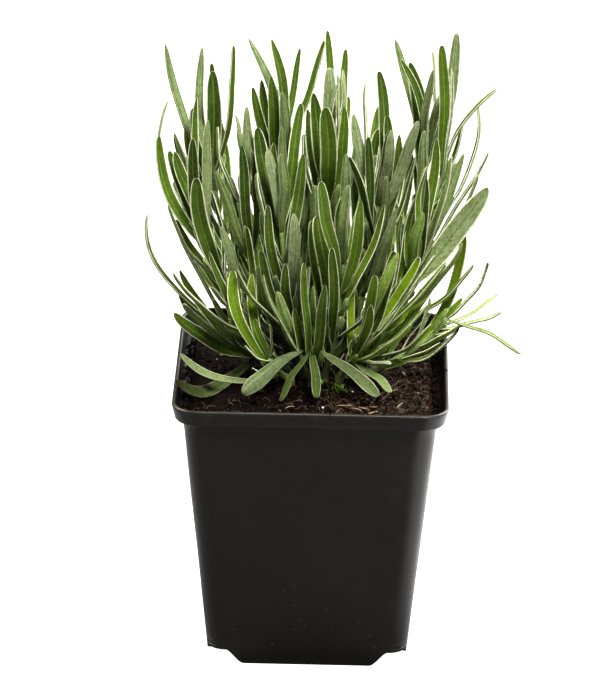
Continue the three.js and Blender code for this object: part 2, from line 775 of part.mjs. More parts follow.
const pot = makePot();
const soil = makeSoil();
const shoots = makeShoots(pot, soil);

const plantedPot = new THREE.Group();
plantedPot.add(namedMesh("pot", pot, FINISHES.pot));
plantedPot.add(namedMesh("soil", soil, FINISHES.soil));
for (const [name, solid] of shoots) {
  plantedPot.add(namedMesh(name, solid, FINISHES.shoot));
}

const extent = new THREE.Box3().setFromObject(plantedPot);
const centre = extent.getCenter(new THREE.Vector3());
plantedPot.position.set(-centre.x, -centre.y, 0);

export default plantedPot;
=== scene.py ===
"""Potted lavender: fine surfaces of a young lavender in a square nursery pot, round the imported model."""

import logging
import math
from dataclasses import dataclass, field, replace
from enum import Enum

import bpy
import numpy as np
from mathutils import Matrix, Vector, noise


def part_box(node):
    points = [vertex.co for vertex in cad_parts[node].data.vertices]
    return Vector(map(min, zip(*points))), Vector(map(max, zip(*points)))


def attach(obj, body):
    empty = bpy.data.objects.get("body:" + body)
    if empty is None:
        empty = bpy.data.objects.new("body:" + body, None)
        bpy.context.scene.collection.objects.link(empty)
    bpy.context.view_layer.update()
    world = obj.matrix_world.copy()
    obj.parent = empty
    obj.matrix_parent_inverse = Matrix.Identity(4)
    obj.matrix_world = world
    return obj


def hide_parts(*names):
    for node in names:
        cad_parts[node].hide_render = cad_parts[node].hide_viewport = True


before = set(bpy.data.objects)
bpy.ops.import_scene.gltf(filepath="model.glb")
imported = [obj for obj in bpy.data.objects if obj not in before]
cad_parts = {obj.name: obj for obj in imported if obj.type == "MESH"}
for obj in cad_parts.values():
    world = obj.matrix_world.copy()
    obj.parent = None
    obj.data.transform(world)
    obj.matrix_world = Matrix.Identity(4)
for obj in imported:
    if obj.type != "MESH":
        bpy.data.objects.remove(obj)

log = logging.getLogger("potted_lavender")

Array = np.ndarray
Point = tuple[float, float, float]
Faces = list[tuple[int, ...]]
Random = np.random.Generator
Material = bpy.types.Material
Tree = bpy.types.NodeTree
Inputs = dict[str | int, object]

MM = 0.001
FULL_TURN = 2 * math.pi
BODY = "root"
UPRIGHT = np.array([0.0, 0.0, 1.0])
HEART = np.array([2.0, 9.0])
HEART_STRETCH = (1.0, 0.9)
HEART_EDGE = (25.0, 9.0)
HEART_TOP = (150.0, 104.0)
POT_LOW, POT_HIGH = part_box("pot")
AXIS = np.array([(POT_LOW.x + POT_HIGH.x) / 2, (POT_LOW.y + POT_HIGH.y) / 2, 0.0])


class Slot(Enum):
    """The record's material slots."""

    PLASTIC = "pot_plastic"
    PEAT = "peat"
    LEAF = "leaf"


class Look(Enum):
    """Directions that the upper face of a leaf can look in."""

    FRONT = (0, -1, 0.3)
    BACK = (0, 1, 0.3)
    LEFT = (-1, 0, 0.3)
    RIGHT = (1, 0, 0.3)
    LEFT_FRONT = (-1, -1, 0.3)
    RIGHT_FRONT = (1, -1, 0.3)
    LEFT_BACK = (-1, 1, 0.3)
    UP = (0, 0, 1)
    UP_FRONT = (0, -1, 1)
    UP_LEFT = (-1, 0, 1)
    UP_RIGHT = (1, 0, 1)
    DOWN_BACK = (0, 1, -1)


def smooth(low: float, high: float, value: Array | float) -> Array | float:
    """Smooth step of a value from 0 at low to 1 at high."""
    share = np.clip((value - low) / (high - low), 0.0, 1.0)
    return share * share * (3.0 - 2.0 * share)


def unit(vector: Array) -> Array:
    """The vector, or each row of an array of vectors, at length one."""
    return vector / np.linalg.norm(vector, axis=-1, keepdims=True)


def bump(x: float, y: float, z: float, size: float) -> float:
    """Smooth noise from about -1 to 1 whose features are of a given size."""
    return noise.noise(Vector((x / size, y / size, z / size)))


def spin(angle: float) -> Array:
    """Turn about the upright axis, as a matrix."""
    cos, sin = math.cos(angle), math.sin(angle)
    return np.array([[cos, -sin, 0.0], [sin, cos, 0.0], UPRIGHT])


def link(name: str, data: bpy.types.ID) -> bpy.types.Object:
    """New object of a mesh, light or camera, linked to the scene.

    Args:
        name: The new object's name.
        data: The mesh, light or camera.

    Returns:
        The new object.
    """
    made = bpy.data.objects.new(name, data)
    bpy.context.scene.collection.objects.link(made)
    return made


def smooth_object(name: str, points: list, faces: Faces, materials: list[Material]) -> bpy.types.Object:
    """New smooth-shaded object from points in metres, linked to the scene.

    Args:
        name: The new object's name.
        points: Its points, one a row.
        faces: Its faces, as indices of the points.
        materials: Its materials.

    Returns:
        The new object.
    """
    mesh = bpy.data.meshes.new(name)
    mesh.from_pydata(points, [], faces)
    for material in materials:
        mesh.materials.append(material)
    mesh.polygons.foreach_set("use_smooth", [True] * len(faces))
    return link(name, mesh)


@dataclass
class Skin:
    """Points, faces and per-point values of one piece, gathered before it becomes a mesh.

    Points are in millimetres from the pot's axis, and z is the height over the surface it stands on.
    """

    points: list[Array] = field(default_factory=list)
    faces: Faces = field(default_factory=list)
    finishes: list[int] = field(default_factory=list)
    values: dict[str, list[Array]] = field(default_factory=dict)
    count: int = 0

    def add(self, points: Array, faces: Faces, finish: int = 0, **values: object) -> None:
        """Adds one closed surface.

        Args:
            points: Its points, one a row.
            faces: Its faces, as indices of its own points.
            finish: Which of the piece's materials it has.
            values: Per-point values by name, each one number or one number a point.
        """
        start = self.count
        self.points.append(points)
        self.faces += [tuple(start + index for index in face) for face in faces]
        self.finishes += [finish] * len(faces)
        self.count += len(points)
        for name in values:
            self.values.setdefault(name, [np.zeros(start)])
        for name, parts in self.values.items():
            parts.append(np.broadcast_to(np.asarray(values.get(name, 0.0), float), (len(points),)))

    def to_piece(self, name: str, materials: list[Material], node: str = "") -> bpy.types.Object:
        """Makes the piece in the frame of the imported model, rides it with the pot and reports it.

        Args:
            name: The piece's name.
            materials: Its materials, in the order that the finishes count.
            node: The CAD node that it stands for, if any.

        Returns:
            The new object, linked to the scene.
        """
        placed = np.concatenate(self.points) * MM + AXIS
        piece = smooth_object(name, placed.tolist(), self.faces, materials)
        mesh = piece.data
        mesh.polygons.foreach_set("material_index", self.finishes)
        for value_name, parts in self.values.items():
            attribute = mesh.attributes.new(value_name, "FLOAT", "POINT")
            attribute.data.foreach_set("value", np.concatenate(parts).astype(np.float32))
        mesh.update()
        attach(piece, BODY)
        if node:
            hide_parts(node)
        log.info("%s: %d faces", name, len(self.faces))
        return piece


def ring_faces(rings: int, around: int, closed: bool = False) -> Faces:
    """Faces between rings of equally many points, closed by a face at each end or joined last to first.

    Args:
        rings: Number of rings.
        around: Points in a ring, anticlockwise as seen from the last ring.
        closed: Whether the last ring joins the first, as round a frame.

    Returns:
        The faces, pointing out.
    """
    faces = []
    for ring in range(rings if closed else rings - 1):
        low, high = ring * around, (ring + 1) % rings * around
        faces += [(low + i, low + (i + 1) % around, high + (i + 1) % around, high + i) for i in range(around)]
    if not closed:
        faces += [tuple(range(around - 1, -1, -1)), tuple(range((rings - 1) * around, rings * around))]
    return faces


def disc_faces(rings: int, around: int) -> Faces:
    """Faces of a fan round point 0 and of the bands between the rings of points that follow it.

    Args:
        rings: Number of rings.
        around: Points in a ring.

    Returns:
        The faces.
    """
    faces = [(0, 1 + i, 1 + (i + 1) % around) for i in range(around)]
    for low in range(1, 1 + (rings - 1) * around, around):
        high = low + around
        faces += [(low + i, high + i, high + (i + 1) % around, low + (i + 1) % around) for i in range(around)]
    return faces


def tube(line: Array, radii: Array, sides: int, flat: float = 1.0) -> tuple[Array, Faces]:
    """Closed tube along a line.

    Args:
        line: Points of its centre line, one a row.
        radii: Its radius at each point.
        sides: Points round its section.
        flat: Height of the section as a share of its width.

    Returns:
        Its points and faces.
    """
    along = unit(np.gradient(line, axis=0))
    level = np.array([0.0, 1.0, 0.0]) if abs(along[0][2]) > 0.7 else UPRIGHT
    side = unit(np.cross(level, along))
    up = np.cross(along, side)
    angles = np.arange(sides)[None, :, None] / sides * FULL_TURN
    section = np.cos(angles) * side[:, None] + flat * np.sin(angles) * up[:, None]
    points = line[:, None] + radii[:, None, None] * section
    return points.reshape(-1, 3), ring_faces(len(line), sides)


def pebble(rng: Random, rough: float) -> tuple[Array, Faces]:
    """A small lump of unit size whose surface departs from a ball by up to a share of its radius.

    Args:
        rng: Source of the random draws.
        rough: The share.

    Returns:
        Its points, one a row, and its faces.
    """
    rows, around = 5, 7
    points = []
    for row in range(rows):
        tilt = math.pi * (row + 0.5) / rows
        for i in range(around):
            turn = FULL_TURN * (i + 0.5 * (row % 2)) / around
            points.append((math.sin(tilt) * math.cos(turn), math.sin(tilt) * math.sin(turn), -math.cos(tilt)))
    shape = np.array(points) * (1 + rough * rng.uniform(-1, 1, (len(points), 1)))
    stretch = rng.uniform(0.6, 1.2, 3)
    return shape * stretch, ring_faces(rows, around)


def inner_shade(points: Array) -> Array:
    """How deep in the plant points are, from 0 outside to 1 at its heart, as the share of painted shade that
    darkens them there.

    Args:
        points: The points, one a row.

    Returns:
        One number a point.
    """
    off_heart = np.hypot(*((points[:, :2] - HEART) * HEART_STRETCH).T)
    return smooth(*HEART_EDGE, off_heart) * smooth(*HEART_TOP, points[:, 2])


class Draws:
    """Repeatable draws from 0 to 1 by the same rule that places the solids' leaves."""

    def __init__(self, seed: int) -> None:
        """Starts the draws at a seed."""
        self.state = seed

    def next(self) -> float:
        """The next draw."""
        self.state = (self.state * 1664525 + 1013904223) % 4294967296
        return self.state / 4294967296

    def about(self, spread: float) -> float:
        """A draw from -spread to +spread."""
        return (2 * self.next() - 1) * spread


class Value:
    """What varies over a surface, such as a mask or a colour, with the sums that finishes are written in."""

    def __init__(self, sketch: "Sketch", socket: bpy.types.NodeSocket) -> None:
        """Holds an output socket of a sketch."""
        self.sketch = sketch
        self.socket = socket

    def math(self, operation: str, other: "Value | float") -> "Value":
        """Result of a Math node on this and another value."""
        return self.sketch.read(0, "ShaderNodeMath", {0: self, 1: other}, operation=operation)

    def __mul__(self, other: "Value | float") -> "Value":
        """Product with another value."""
        return self.math("MULTIPLY", other)

    def __add__(self, other: "Value | float") -> "Value":
        """Sum with another value."""
        return self.math("ADD", other)

    def __sub__(self, other: "Value | float") -> "Value":
        """Difference from another value."""
        return self.math("SUBTRACT", other)

    def step(self, low: float, high: float) -> "Value":
        """Smooth mask that rises from 0 to 1 between two values, or falls where low is above high.

        Args:
            low: Value where the mask is 0.
            high: Value where the mask is 1.

        Returns:
            The mask.
        """
        inputs = {
            "Value": self, "From Min": min(low, high), "From Max": max(low, high),
            "To Min": float(low > high), "To Max": float(low < high),
        }
        return self.sketch.read("Result", "ShaderNodeMapRange", inputs, interpolation_type="SMOOTHSTEP")


class Sketch:
    """A node tree while it is laid out."""

    def __init__(self, tree: Tree) -> None:
        """Starts on a tree."""
        self.tree = tree

    def node(self, kind: str, inputs: Inputs | None = None, **settings: object) -> bpy.types.Node:
        """Adds a node.

        Args:
            kind: Its type.
            inputs: What its inputs are linked or set to, by name or number.
            settings: Its settings by name.

        Returns:
            The node.
        """
        made = self.tree.nodes.new(kind)
        for name, value in settings.items():
            setattr(made, name, value)
        for name, value in (inputs or {}).items():
            if isinstance(value, Value):
                self.tree.links.new(value.socket, made.inputs[name])
            else:
                made.inputs[name].default_value = value
        return made

    def several(self, outputs: tuple, kind: str, inputs: Inputs | None = None) -> list[Value]:
        """Adds a node and gives some of its outputs."""
        made = self.node(kind, inputs)
        return [Value(self, made.outputs[output]) for output in outputs]

    def read(self, output: str | int, kind: str, inputs: Inputs | None = None, **settings: object) -> Value:
        """Adds a node and gives one of its outputs."""
        return Value(self, self.node(kind, inputs, **settings).outputs[output])

    def values(self, *names: str) -> list[Value]:
        """Per-point values of the mesh."""
        return [self.read("Fac", "ShaderNodeAttribute", attribute_name=name) for name in names]

    def place(self) -> Value:
        """Coordinates of the surface in the object's own space."""
        return self.read("Object", "ShaderNodeTexCoord")

    def noise(self, place: Value, scale: "Value | float", detail: float, rough: float = 0.55) -> Value:
        """Noise mask from 0 to 1."""
        inputs = {"Vector": place, "Scale": scale, "Detail": detail, "Roughness": rough}
        return self.read("Fac", "ShaderNodeTexNoise", inputs)

    def join(self, x: Value, y: Value, z: Value) -> Value:
        """Place with given coordinates."""
        return self.read(0, "ShaderNodeCombineXYZ", {0: x, 1: y, 2: z})

    def coats(self, base: "Value | tuple", *coats: tuple) -> Value:
        """Colour under coats of other colours, each given after the share of the surface that it covers.

        Args:
            base: The colour beneath.
            coats: Pairs of a share and a colour, the lowest coat first.

        Returns:
            The colour on top.
        """
        for share, coat in coats:
            base = self.read(2, "ShaderNodeMix", {0: share, 6: base, 7: coat}, data_type="RGBA")
        return base

    def group(self, tree: Tree, inputs: Inputs, output: str = "Mask") -> Value:
        """Output of a shared effect, with this material's own values."""
        return self.read(output, "ShaderNodeGroup", inputs, node_tree=tree)


def colour(red: float, green: float, blue: float) -> tuple[float, float, float, float]:
    """Opaque linear colour."""
    return (red, green, blue, 1.0)


class Effects:
    """Effects that several finishes share, as shader node groups."""

    def __init__(self) -> None:
        """Builds every shared effect once."""
        self.mottle = self.make_mottle()
        self.felt = self.make_felt()
        self.specks = self.make_specks()

    @staticmethod
    def socket(sketch: Sketch, label: str, way: str) -> bpy.types.NodeTreeInterfaceSocket:
        """New number socket of a group, its way INPUT or OUTPUT."""
        return sketch.tree.interface.new_socket(label, in_out=way, socket_type="NodeSocketFloat")

    def open(self, name: str, inputs: dict[str, float]) -> tuple:
        """Starts a group with its inputs, and gives its sketch and their values.

        Args:
            name: The group's name.
            inputs: Usual values of its inputs, by name.

        Returns:
            The sketch, followed by the inputs' values.
        """
        sketch = Sketch(bpy.data.node_groups.new(name, "ShaderNodeTree"))
        for label, value in inputs.items():
            self.socket(sketch, label, "INPUT").default_value = value
        return sketch, *sketch.several(tuple(inputs), "NodeGroupInput")

    def close(self, sketch: Sketch, outputs: dict[str, Value]) -> Tree:
        """Gives a group its outputs, and returns its tree.

        Args:
            sketch: The sketch of the group's nodes.
            outputs: Its outputs, by name.

        Returns:
            The group's tree.
        """
        for label in outputs:
            self.socket(sketch, label, "OUTPUT")
        sketch.node("NodeGroupOutput", outputs)
        return sketch.tree

    def make_mottle(self) -> Tree:
        """Soft uneven patches: one broad noise broken up by a fine one.

        Returns:
            The group's tree.
        """
        sketch, scale, contrast = self.open("uneven_patches", {"Scale": 200.0, "Contrast": 1.0})
        place = sketch.place()
        broad = sketch.noise(place, scale, 3.0)
        fine = sketch.noise(place, scale * 5.3, 4.0, 0.65)
        spread = (fine * 0.45 + broad * 0.55 - 0.5) * (contrast * 2.6) + 0.5
        return self.close(sketch, {"Mask": spread.math("MINIMUM", 1.0).math("MAXIMUM", 0.0)})

    def make_felt(self) -> Tree:
        """Short matted hairs: a fine cellular mask and its height for bump.

        Returns:
            The group's tree.
        """
        sketch, scale = self.open("matted_hairs", {"Scale": 2600.0})
        place = sketch.place()
        warp = sketch.noise(place, scale * 0.5, 2.0) * 0.0008
        moved = sketch.read(0, "ShaderNodeVectorMath", {0: place, 1: warp}, operation="ADD")
        fine = sketch.noise(moved, scale, 3.0, 0.7)
        return self.close(sketch, {"Mask": fine.step(0.36, 0.66), "Height": fine})

    def make_specks(self) -> Tree:
        """Scattered specks: the middles of random cells, each kept or dropped by its own draw.

        Returns:
            The group's tree.
        """
        named = {"Scale": 500.0, "Share": 0.2, "Size": 0.25}
        sketch, scale, share, size = self.open("scattered_specks", named)
        cells = {"Vector": sketch.place(), "Scale": scale}
        drawn, distance = sketch.several(("Color", "Distance"), "ShaderNodeTexVoronoi", cells)
        kept = sketch.read(0, "ShaderNodeSeparateColor", {0: drawn}).math("LESS_THAN", share)
        return self.close(sketch, {"Mask": kept * distance.math("LESS_THAN", size)})


@dataclass(frozen=True)
class Finish:
    """What every finish has: a name, its bump's depth in millimetres and strength, and its gloss."""

    name: str
    depth: float = 0.2
    strength: float = 1.0
    gloss: float = 0.5

    def lay(self, sketch: Sketch, effects: Effects) -> Inputs:
        """Lays out the surface.

        Args:
            sketch: The material's tree.
            effects: The shared effects.

        Returns:
            What the Principled shader's inputs are linked or set to.
        """
        raise NotImplementedError

    def surface(self, sketch: Sketch, base: Value, rough: "Value | float", height: Value) -> Inputs:
        """The shader's inputs for a colour, a roughness and the height of a bump.

        Args:
            sketch: The sketch of the material's nodes.
            base: The colour.
            rough: The roughness.
            height: The height, from 0 to 1.

        Returns:
            What the shader's inputs are linked or set to.
        """
        relief = {"Strength": self.strength, "Distance": self.depth * MM, "Height": height}
        return {
            "Base Color": base, "Roughness": rough, "Specular IOR Level": self.gloss,
            "Normal": sketch.read(0, "ShaderNodeBump", relief),
        }

    def make(self, effects: Effects) -> Material:
        """Builds the material: a Principled shader fed with what the finish lays out.

        Args:
            effects: The shared effects.

        Returns:
            The new material.
        """
        material = bpy.data.materials.new(self.name)
        material.use_nodes = True
        material.node_tree.nodes.clear()
        sketch = Sketch(material.node_tree)
        shader = sketch.read("BSDF", "ShaderNodeBsdfPrincipled", self.lay(sketch, effects))
        sketch.node("ShaderNodeOutputMaterial", {"Surface": shader})
        return material


@dataclass(frozen=True)
class LeafFinish(Finish):
    """Felted leaf: green above with pale rolled margins and midrib, sage felt beneath, lime at its base, with
    painted shade deep in the plant and a painted highlight down its lower face.
    """

    name: str = "lavender_leaf"
    strength: float = 0.8
    gloss: float = 0.1
    deep: tuple = colour(0.0155, 0.037, 0.0026)
    green: tuple = colour(0.082, 0.145, 0.0065)
    lime: tuple = colour(0.250, 0.385, 0.018)
    margin: tuple = colour(1.000, 1.000, 0.720)
    rib: tuple = colour(0.240, 0.330, 0.060)
    sage: tuple = colour(0.069, 0.107, 0.019)
    # Pale felt; down the middle of the lower face it also makes a painted highlight.
    felt: tuple = colour(0.430, 0.490, 0.275)
    shade: tuple = colour(0.030, 0.032, 0.012)
    # Dark of the painted shade deep in the plant, also laid on darker mottled patches.
    shade_and_mottle_dark: tuple = colour(0.012, 0.018, 0.004)
    spot: tuple = colour(0.040, 0.030, 0.012)
    withered: tuple = colour(0.030, 0.016, 0.007)

    def lay(self, sketch: Sketch, effects: Effects) -> Inputs:
        """Lays out the leaf from the mesh's values.

        Across and along are the place on the leaf, turned its lower face, under where it is felted as
        there, tone and fresh its colour, inner how far it is darkened, by painted shade deep in the plant
        and by its dim, rim its pale margins and dry its withered tip.

        Args:
            sketch: The sketch of the material's nodes.
            effects: The shared effects.

        Returns:
            What the shader's inputs are linked or set to.
        """
        names = ("across", "along", "turned", "under", "tone", "fresh", "inner", "rim", "dry")
        across, along, turned, under, tone, fresh, inner, rim, dry = sketch.values(*names)
        streak = sketch.noise(sketch.join(across * 7.0, along * 3.5, tone * 37.0), 1.0, 3.0, 0.6)
        slanted = along * 34.0 + across * -5.0
        wrinkles = sketch.noise(sketch.join(across * 2.2, slanted, tone * 19.0), 1.0, 2.0, 0.5)
        patches = sketch.group(effects.mottle, {"Scale": 260.0, "Contrast": 1.0})
        mottled = sketch.group(effects.mottle, {"Scale": 800.0, "Contrast": 1.5})
        hairs = sketch.group(effects.felt, {"Scale": 2400.0})
        specks = sketch.group(effects.specks, {"Scale": 420.0, "Share": 0.035, "Size": 0.16})
        midrib = across.step(0.12, 0.04)
        upper = sketch.coats(
            self.deep, (patches * 0.35 + tone * 0.65, self.green), (streak.step(0.42, 0.68) * 0.16, self.rib),
            (hairs * 0.09, self.felt), (fresh, self.lime), (midrib * 0.6, self.rib),
        )
        beneath = sketch.coats(
            self.sage, (hairs * 0.25 + tone * tone * 0.7, self.felt),
            # The second coat on this line is a painted highlight: paler felt down the middle of the lower
            # face, for its rounding.
            (wrinkles.step(0.56, 0.36) * 0.5, self.sage), (across.step(0.6, 0.15) * 0.3, self.felt),
            (midrib * 0.5, self.sage), (fresh * 0.55, self.lime),
        )
        pale = (patches.step(0.3, 0.65) * 0.35 + 0.65) * (rim * (turned.step(0.4, 0.05) * 0.65 + 0.35))
        rolled = turned.step(0.2, 0.6) * across.step(0.92, 0.96)
        blotches = mottled.step(0.48, 0.68) * along.step(0.35, 0.6)
        gone = (blotches * 0.8).math("MAXIMUM", along.step(0.8, 0.97))
        face = sketch.coats(
            upper, (under, beneath), (mottled.step(0.75, 0.2) * 0.25, self.shade_and_mottle_dark),
            (along.step(0.26, 0.0) * (fresh * 1.2 + 0.2), self.lime),
            (across.step(0.79, 0.9) * pale, self.margin), (rolled * 0.8, self.shade),
            # First on this line: painted shade that darkens leaves deep in the plant, together with each
            # leaf's dim.
            (inner * 0.85, self.shade_and_mottle_dark), (specks * 0.75, self.spot), (dry * gone, self.withered),
        )
        ridged = streak * 0.8 + sketch.group(effects.felt, {"Scale": 1900.0}, "Height") * 0.7
        crinkled = wrinkles * (under * 0.7 + 0.5)
        creased = across * (turned * -4.4 + 3.2)
        return self.surface(sketch, face, under * 0.28 + 0.56, ridged + crinkled + creased)


@dataclass(frozen=True)
class StemFinish(Finish):
    """Stem: woody and brown at the soil, green and finely hairy above, with painted shade deep in the plant.
    """

    name: str = "lavender_stem"
    depth: float = 0.25
    wood: tuple = colour(0.105, 0.075, 0.042)
    green: tuple = colour(0.150, 0.235, 0.045)
    bloom: tuple = colour(0.330, 0.420, 0.190)
    # Dark of the painted shade deep in the plant.
    shade_and_mottle_dark: tuple = colour(0.014, 0.013, 0.006)

    def lay(self, sketch: Sketch, effects: Effects) -> Inputs:
        """Lays out the stem from the mesh's values along and inner, which is painted shade deep in the plant.

        Args:
            sketch: The sketch of the material's nodes.
            effects: The shared effects.

        Returns:
            What the shader's inputs are linked or set to.
        """
        along, inner = sketch.values("along", "inner")
        hairs = sketch.group(effects.felt, {"Scale": 2100.0})
        patches = sketch.group(effects.mottle, {"Scale": 420.0, "Contrast": 1.3})
        upper = sketch.coats(self.green, (hairs * 0.55, self.bloom))
        lower = sketch.coats(self.wood, (patches, self.green))
        # The last coat is painted shade, darker deep in the plant.
        bark = sketch.coats(lower, (along.step(0.05, 0.4), upper), (inner * 0.8, self.shade_and_mottle_dark))
        height = sketch.group(effects.felt, {"Scale": 1300.0}, "Height")
        return self.surface(sketch, bark, patches * 0.25 + 0.6, height)


@dataclass(frozen=True)
class PlasticFinish(Finish):
    """Black satin moulded plastic, very slightly uneven, with dust low down, peat smears at the rim and pale
    dust with a painted highlight along its edges.
    """

    name: str = "black_plastic"
    depth: float = 0.03
    strength: float = 0.6
    gloss: float = 0.3
    black: tuple = colour(0.0050, 0.0040, 0.0031)
    worn: tuple = colour(0.0090, 0.0073, 0.0058)
    # Pale dust; on the edges it also stands for a painted highlight.
    dust: tuple = colour(0.095, 0.082, 0.064)

    def lay(self, sketch: Sketch, effects: Effects) -> Inputs:
        """Lays out the plastic from the mesh's values height and edge, the amount of dust and painted
        highlight at edges.

        Args:
            sketch: The sketch of the material's nodes.
            effects: The shared effects.

        Returns:
            What the shader's inputs are linked or set to.
        """
        height, edge = sketch.values("height", "edge")
        patches = sketch.group(effects.mottle, {"Scale": 38.0, "Contrast": 1.2})
        smears = sketch.group(effects.mottle, {"Scale": 330.0, "Contrast": 2.2})
        specks = sketch.group(effects.specks, {"Scale": 560.0, "Share": 0.1, "Size": 0.22})
        rim_dirt = height.step(0.925, 0.99) * smears.step(0.55, 0.95)
        low_dust = specks * height.step(0.55, 0.0)
        base = sketch.coats(
            # The coat by edge is pale dust together with a painted highlight, strongest along the rim's top
            # edge.
            self.black, (patches, self.worn), (rim_dirt * 0.1, self.dust), (edge * 0.15, self.dust),
            (low_dust * 0.35, self.dust),
        )
        place = sketch.place()
        waves = sketch.noise(place, 45.0, 1.0) * 2.5 + sketch.noise(place, 2800.0, 2.0)
        return self.surface(sketch, base, smears * 0.07 + (patches * 0.08 + 0.25), waves)


@dataclass(frozen=True)
class PeatFinish(Finish):
    """Moist peat: near black, redder and drier where it is fibrous."""

    name: str = "moist_peat"
    depth: float = 0.9
    strength: float = 0.9
    gloss: float = 0.06
    wet: tuple = colour(0.0021, 0.0011, 0.0007)
    brown: tuple = colour(0.0058, 0.0030, 0.0018)
    red: tuple = colour(0.046, 0.022, 0.012)

    def lay(self, sketch: Sketch, effects: Effects) -> Inputs:
        """Lays out the peat from the mesh's value fibrous.

        Args:
            sketch: The sketch of the material's nodes.
            effects: The shared effects.

        Returns:
            What the shader's inputs are linked or set to.
        """
        fibrous, = sketch.values("fibrous")
        broad = sketch.group(effects.mottle, {"Scale": 330.0, "Contrast": 2.2})
        fine = sketch.group(effects.mottle, {"Scale": 1300.0, "Contrast": 2.0})
        dry = broad * fine * (fibrous * 0.9 + 0.1)
        base = sketch.coats(self.wet, (fine, self.brown), (dry, self.red))
        return self.surface(sketch, base, broad * 0.2 + 0.78, sketch.noise(sketch.place(), 1500.0, 5.0, 0.7))


@dataclass(frozen=True)
class LitterFinish(Finish):
    """Fibres, grains and moss: each between two colours by its own tone, with fine grain."""

    name: str = "peat_fibre"
    dark: tuple = colour(0.015, 0.0072, 0.0040)
    pale: tuple = colour(0.310, 0.215, 0.128)
    rough: float = 0.85

    def lay(self, sketch: Sketch, effects: Effects) -> Inputs:
        """Lays out the litter from the mesh's value tone.

        Args:
            sketch: The sketch of the material's nodes.
            effects: The shared effects.

        Returns:
            What the shader's inputs are linked or set to.
        """
        tone, = sketch.values("tone")
        patches = sketch.group(effects.mottle, {"Scale": 900.0, "Contrast": 1.5})
        base = sketch.coats(self.dark, ((patches - 0.5) * 0.35 + tone, self.pale))
        return self.surface(sketch, base, self.rough, sketch.noise(sketch.place(), 3000.0, 3.0))


@dataclass(frozen=True)
class FloorFinish(Finish):
    """Pale paint, white in the picture and dim for the object, that glows in the object's gloss from both
    sides, strongest to the right: a painted reflection.
    """

    name: str = "pale_floor"
    gloss: float = 0.1
    pale: tuple = colour(0.17, 0.17, 0.168)
    reflection_glow: float = 1.85
    left_reflection_glow: float = 0.12

    def lay(self, sketch: Sketch, effects: Effects) -> Inputs:
        """Lays out the floor, which glows in the gloss of the object where its place says, as painted
        reflections on the pot.

        Args:
            sketch: The sketch of the material's nodes.
            effects: The shared effects, not used.

        Returns:
            What the shader's inputs are linked or set to.
        """
        seen, mirrored = sketch.several(("Is Camera Ray", "Is Glossy Ray"), "ShaderNodeLightPath")
        x, y = sketch.several((0, 1), "ShaderNodeSeparateXYZ", {0: sketch.place()})
        # Painted reflections: a glow seen only in gloss, far brighter to the right, so the pot's right side
        # catches a highlight.
        to_right = (y.step(-0.11, -0.06) * 0.03 + x).step(0.05, 0.12) * self.reflection_glow
        to_left = x.step(-0.04, -0.1) * self.left_reflection_glow
        return {
            "Base Color": self.pale, "Roughness": 0.9, "Specular IOR Level": self.gloss,
            "Emission Color": colour(1.0, 1.0, 1.0),
            "Emission Strength": seen.math("MAXIMUM", mirrored * (to_right + to_left)),
        }


@dataclass(frozen=True)
class Softbox:
    """A square soft light: its place and aim in metres, its side and its power."""

    name: str
    place: Point
    aim: Point
    side: float
    watts: float

    def build(self) -> None:
        """Makes the light and turns it to its aim."""
        data = bpy.data.lights.new(self.name, "AREA")
        data.shape = "SQUARE"
        data.size = self.side
        data.energy = self.watts
        lamp = link(self.name, data)
        lamp.location = self.place
        lamp.rotation_euler = (Vector(self.aim) - Vector(self.place)).to_track_quat("-Z", "Y").to_euler()


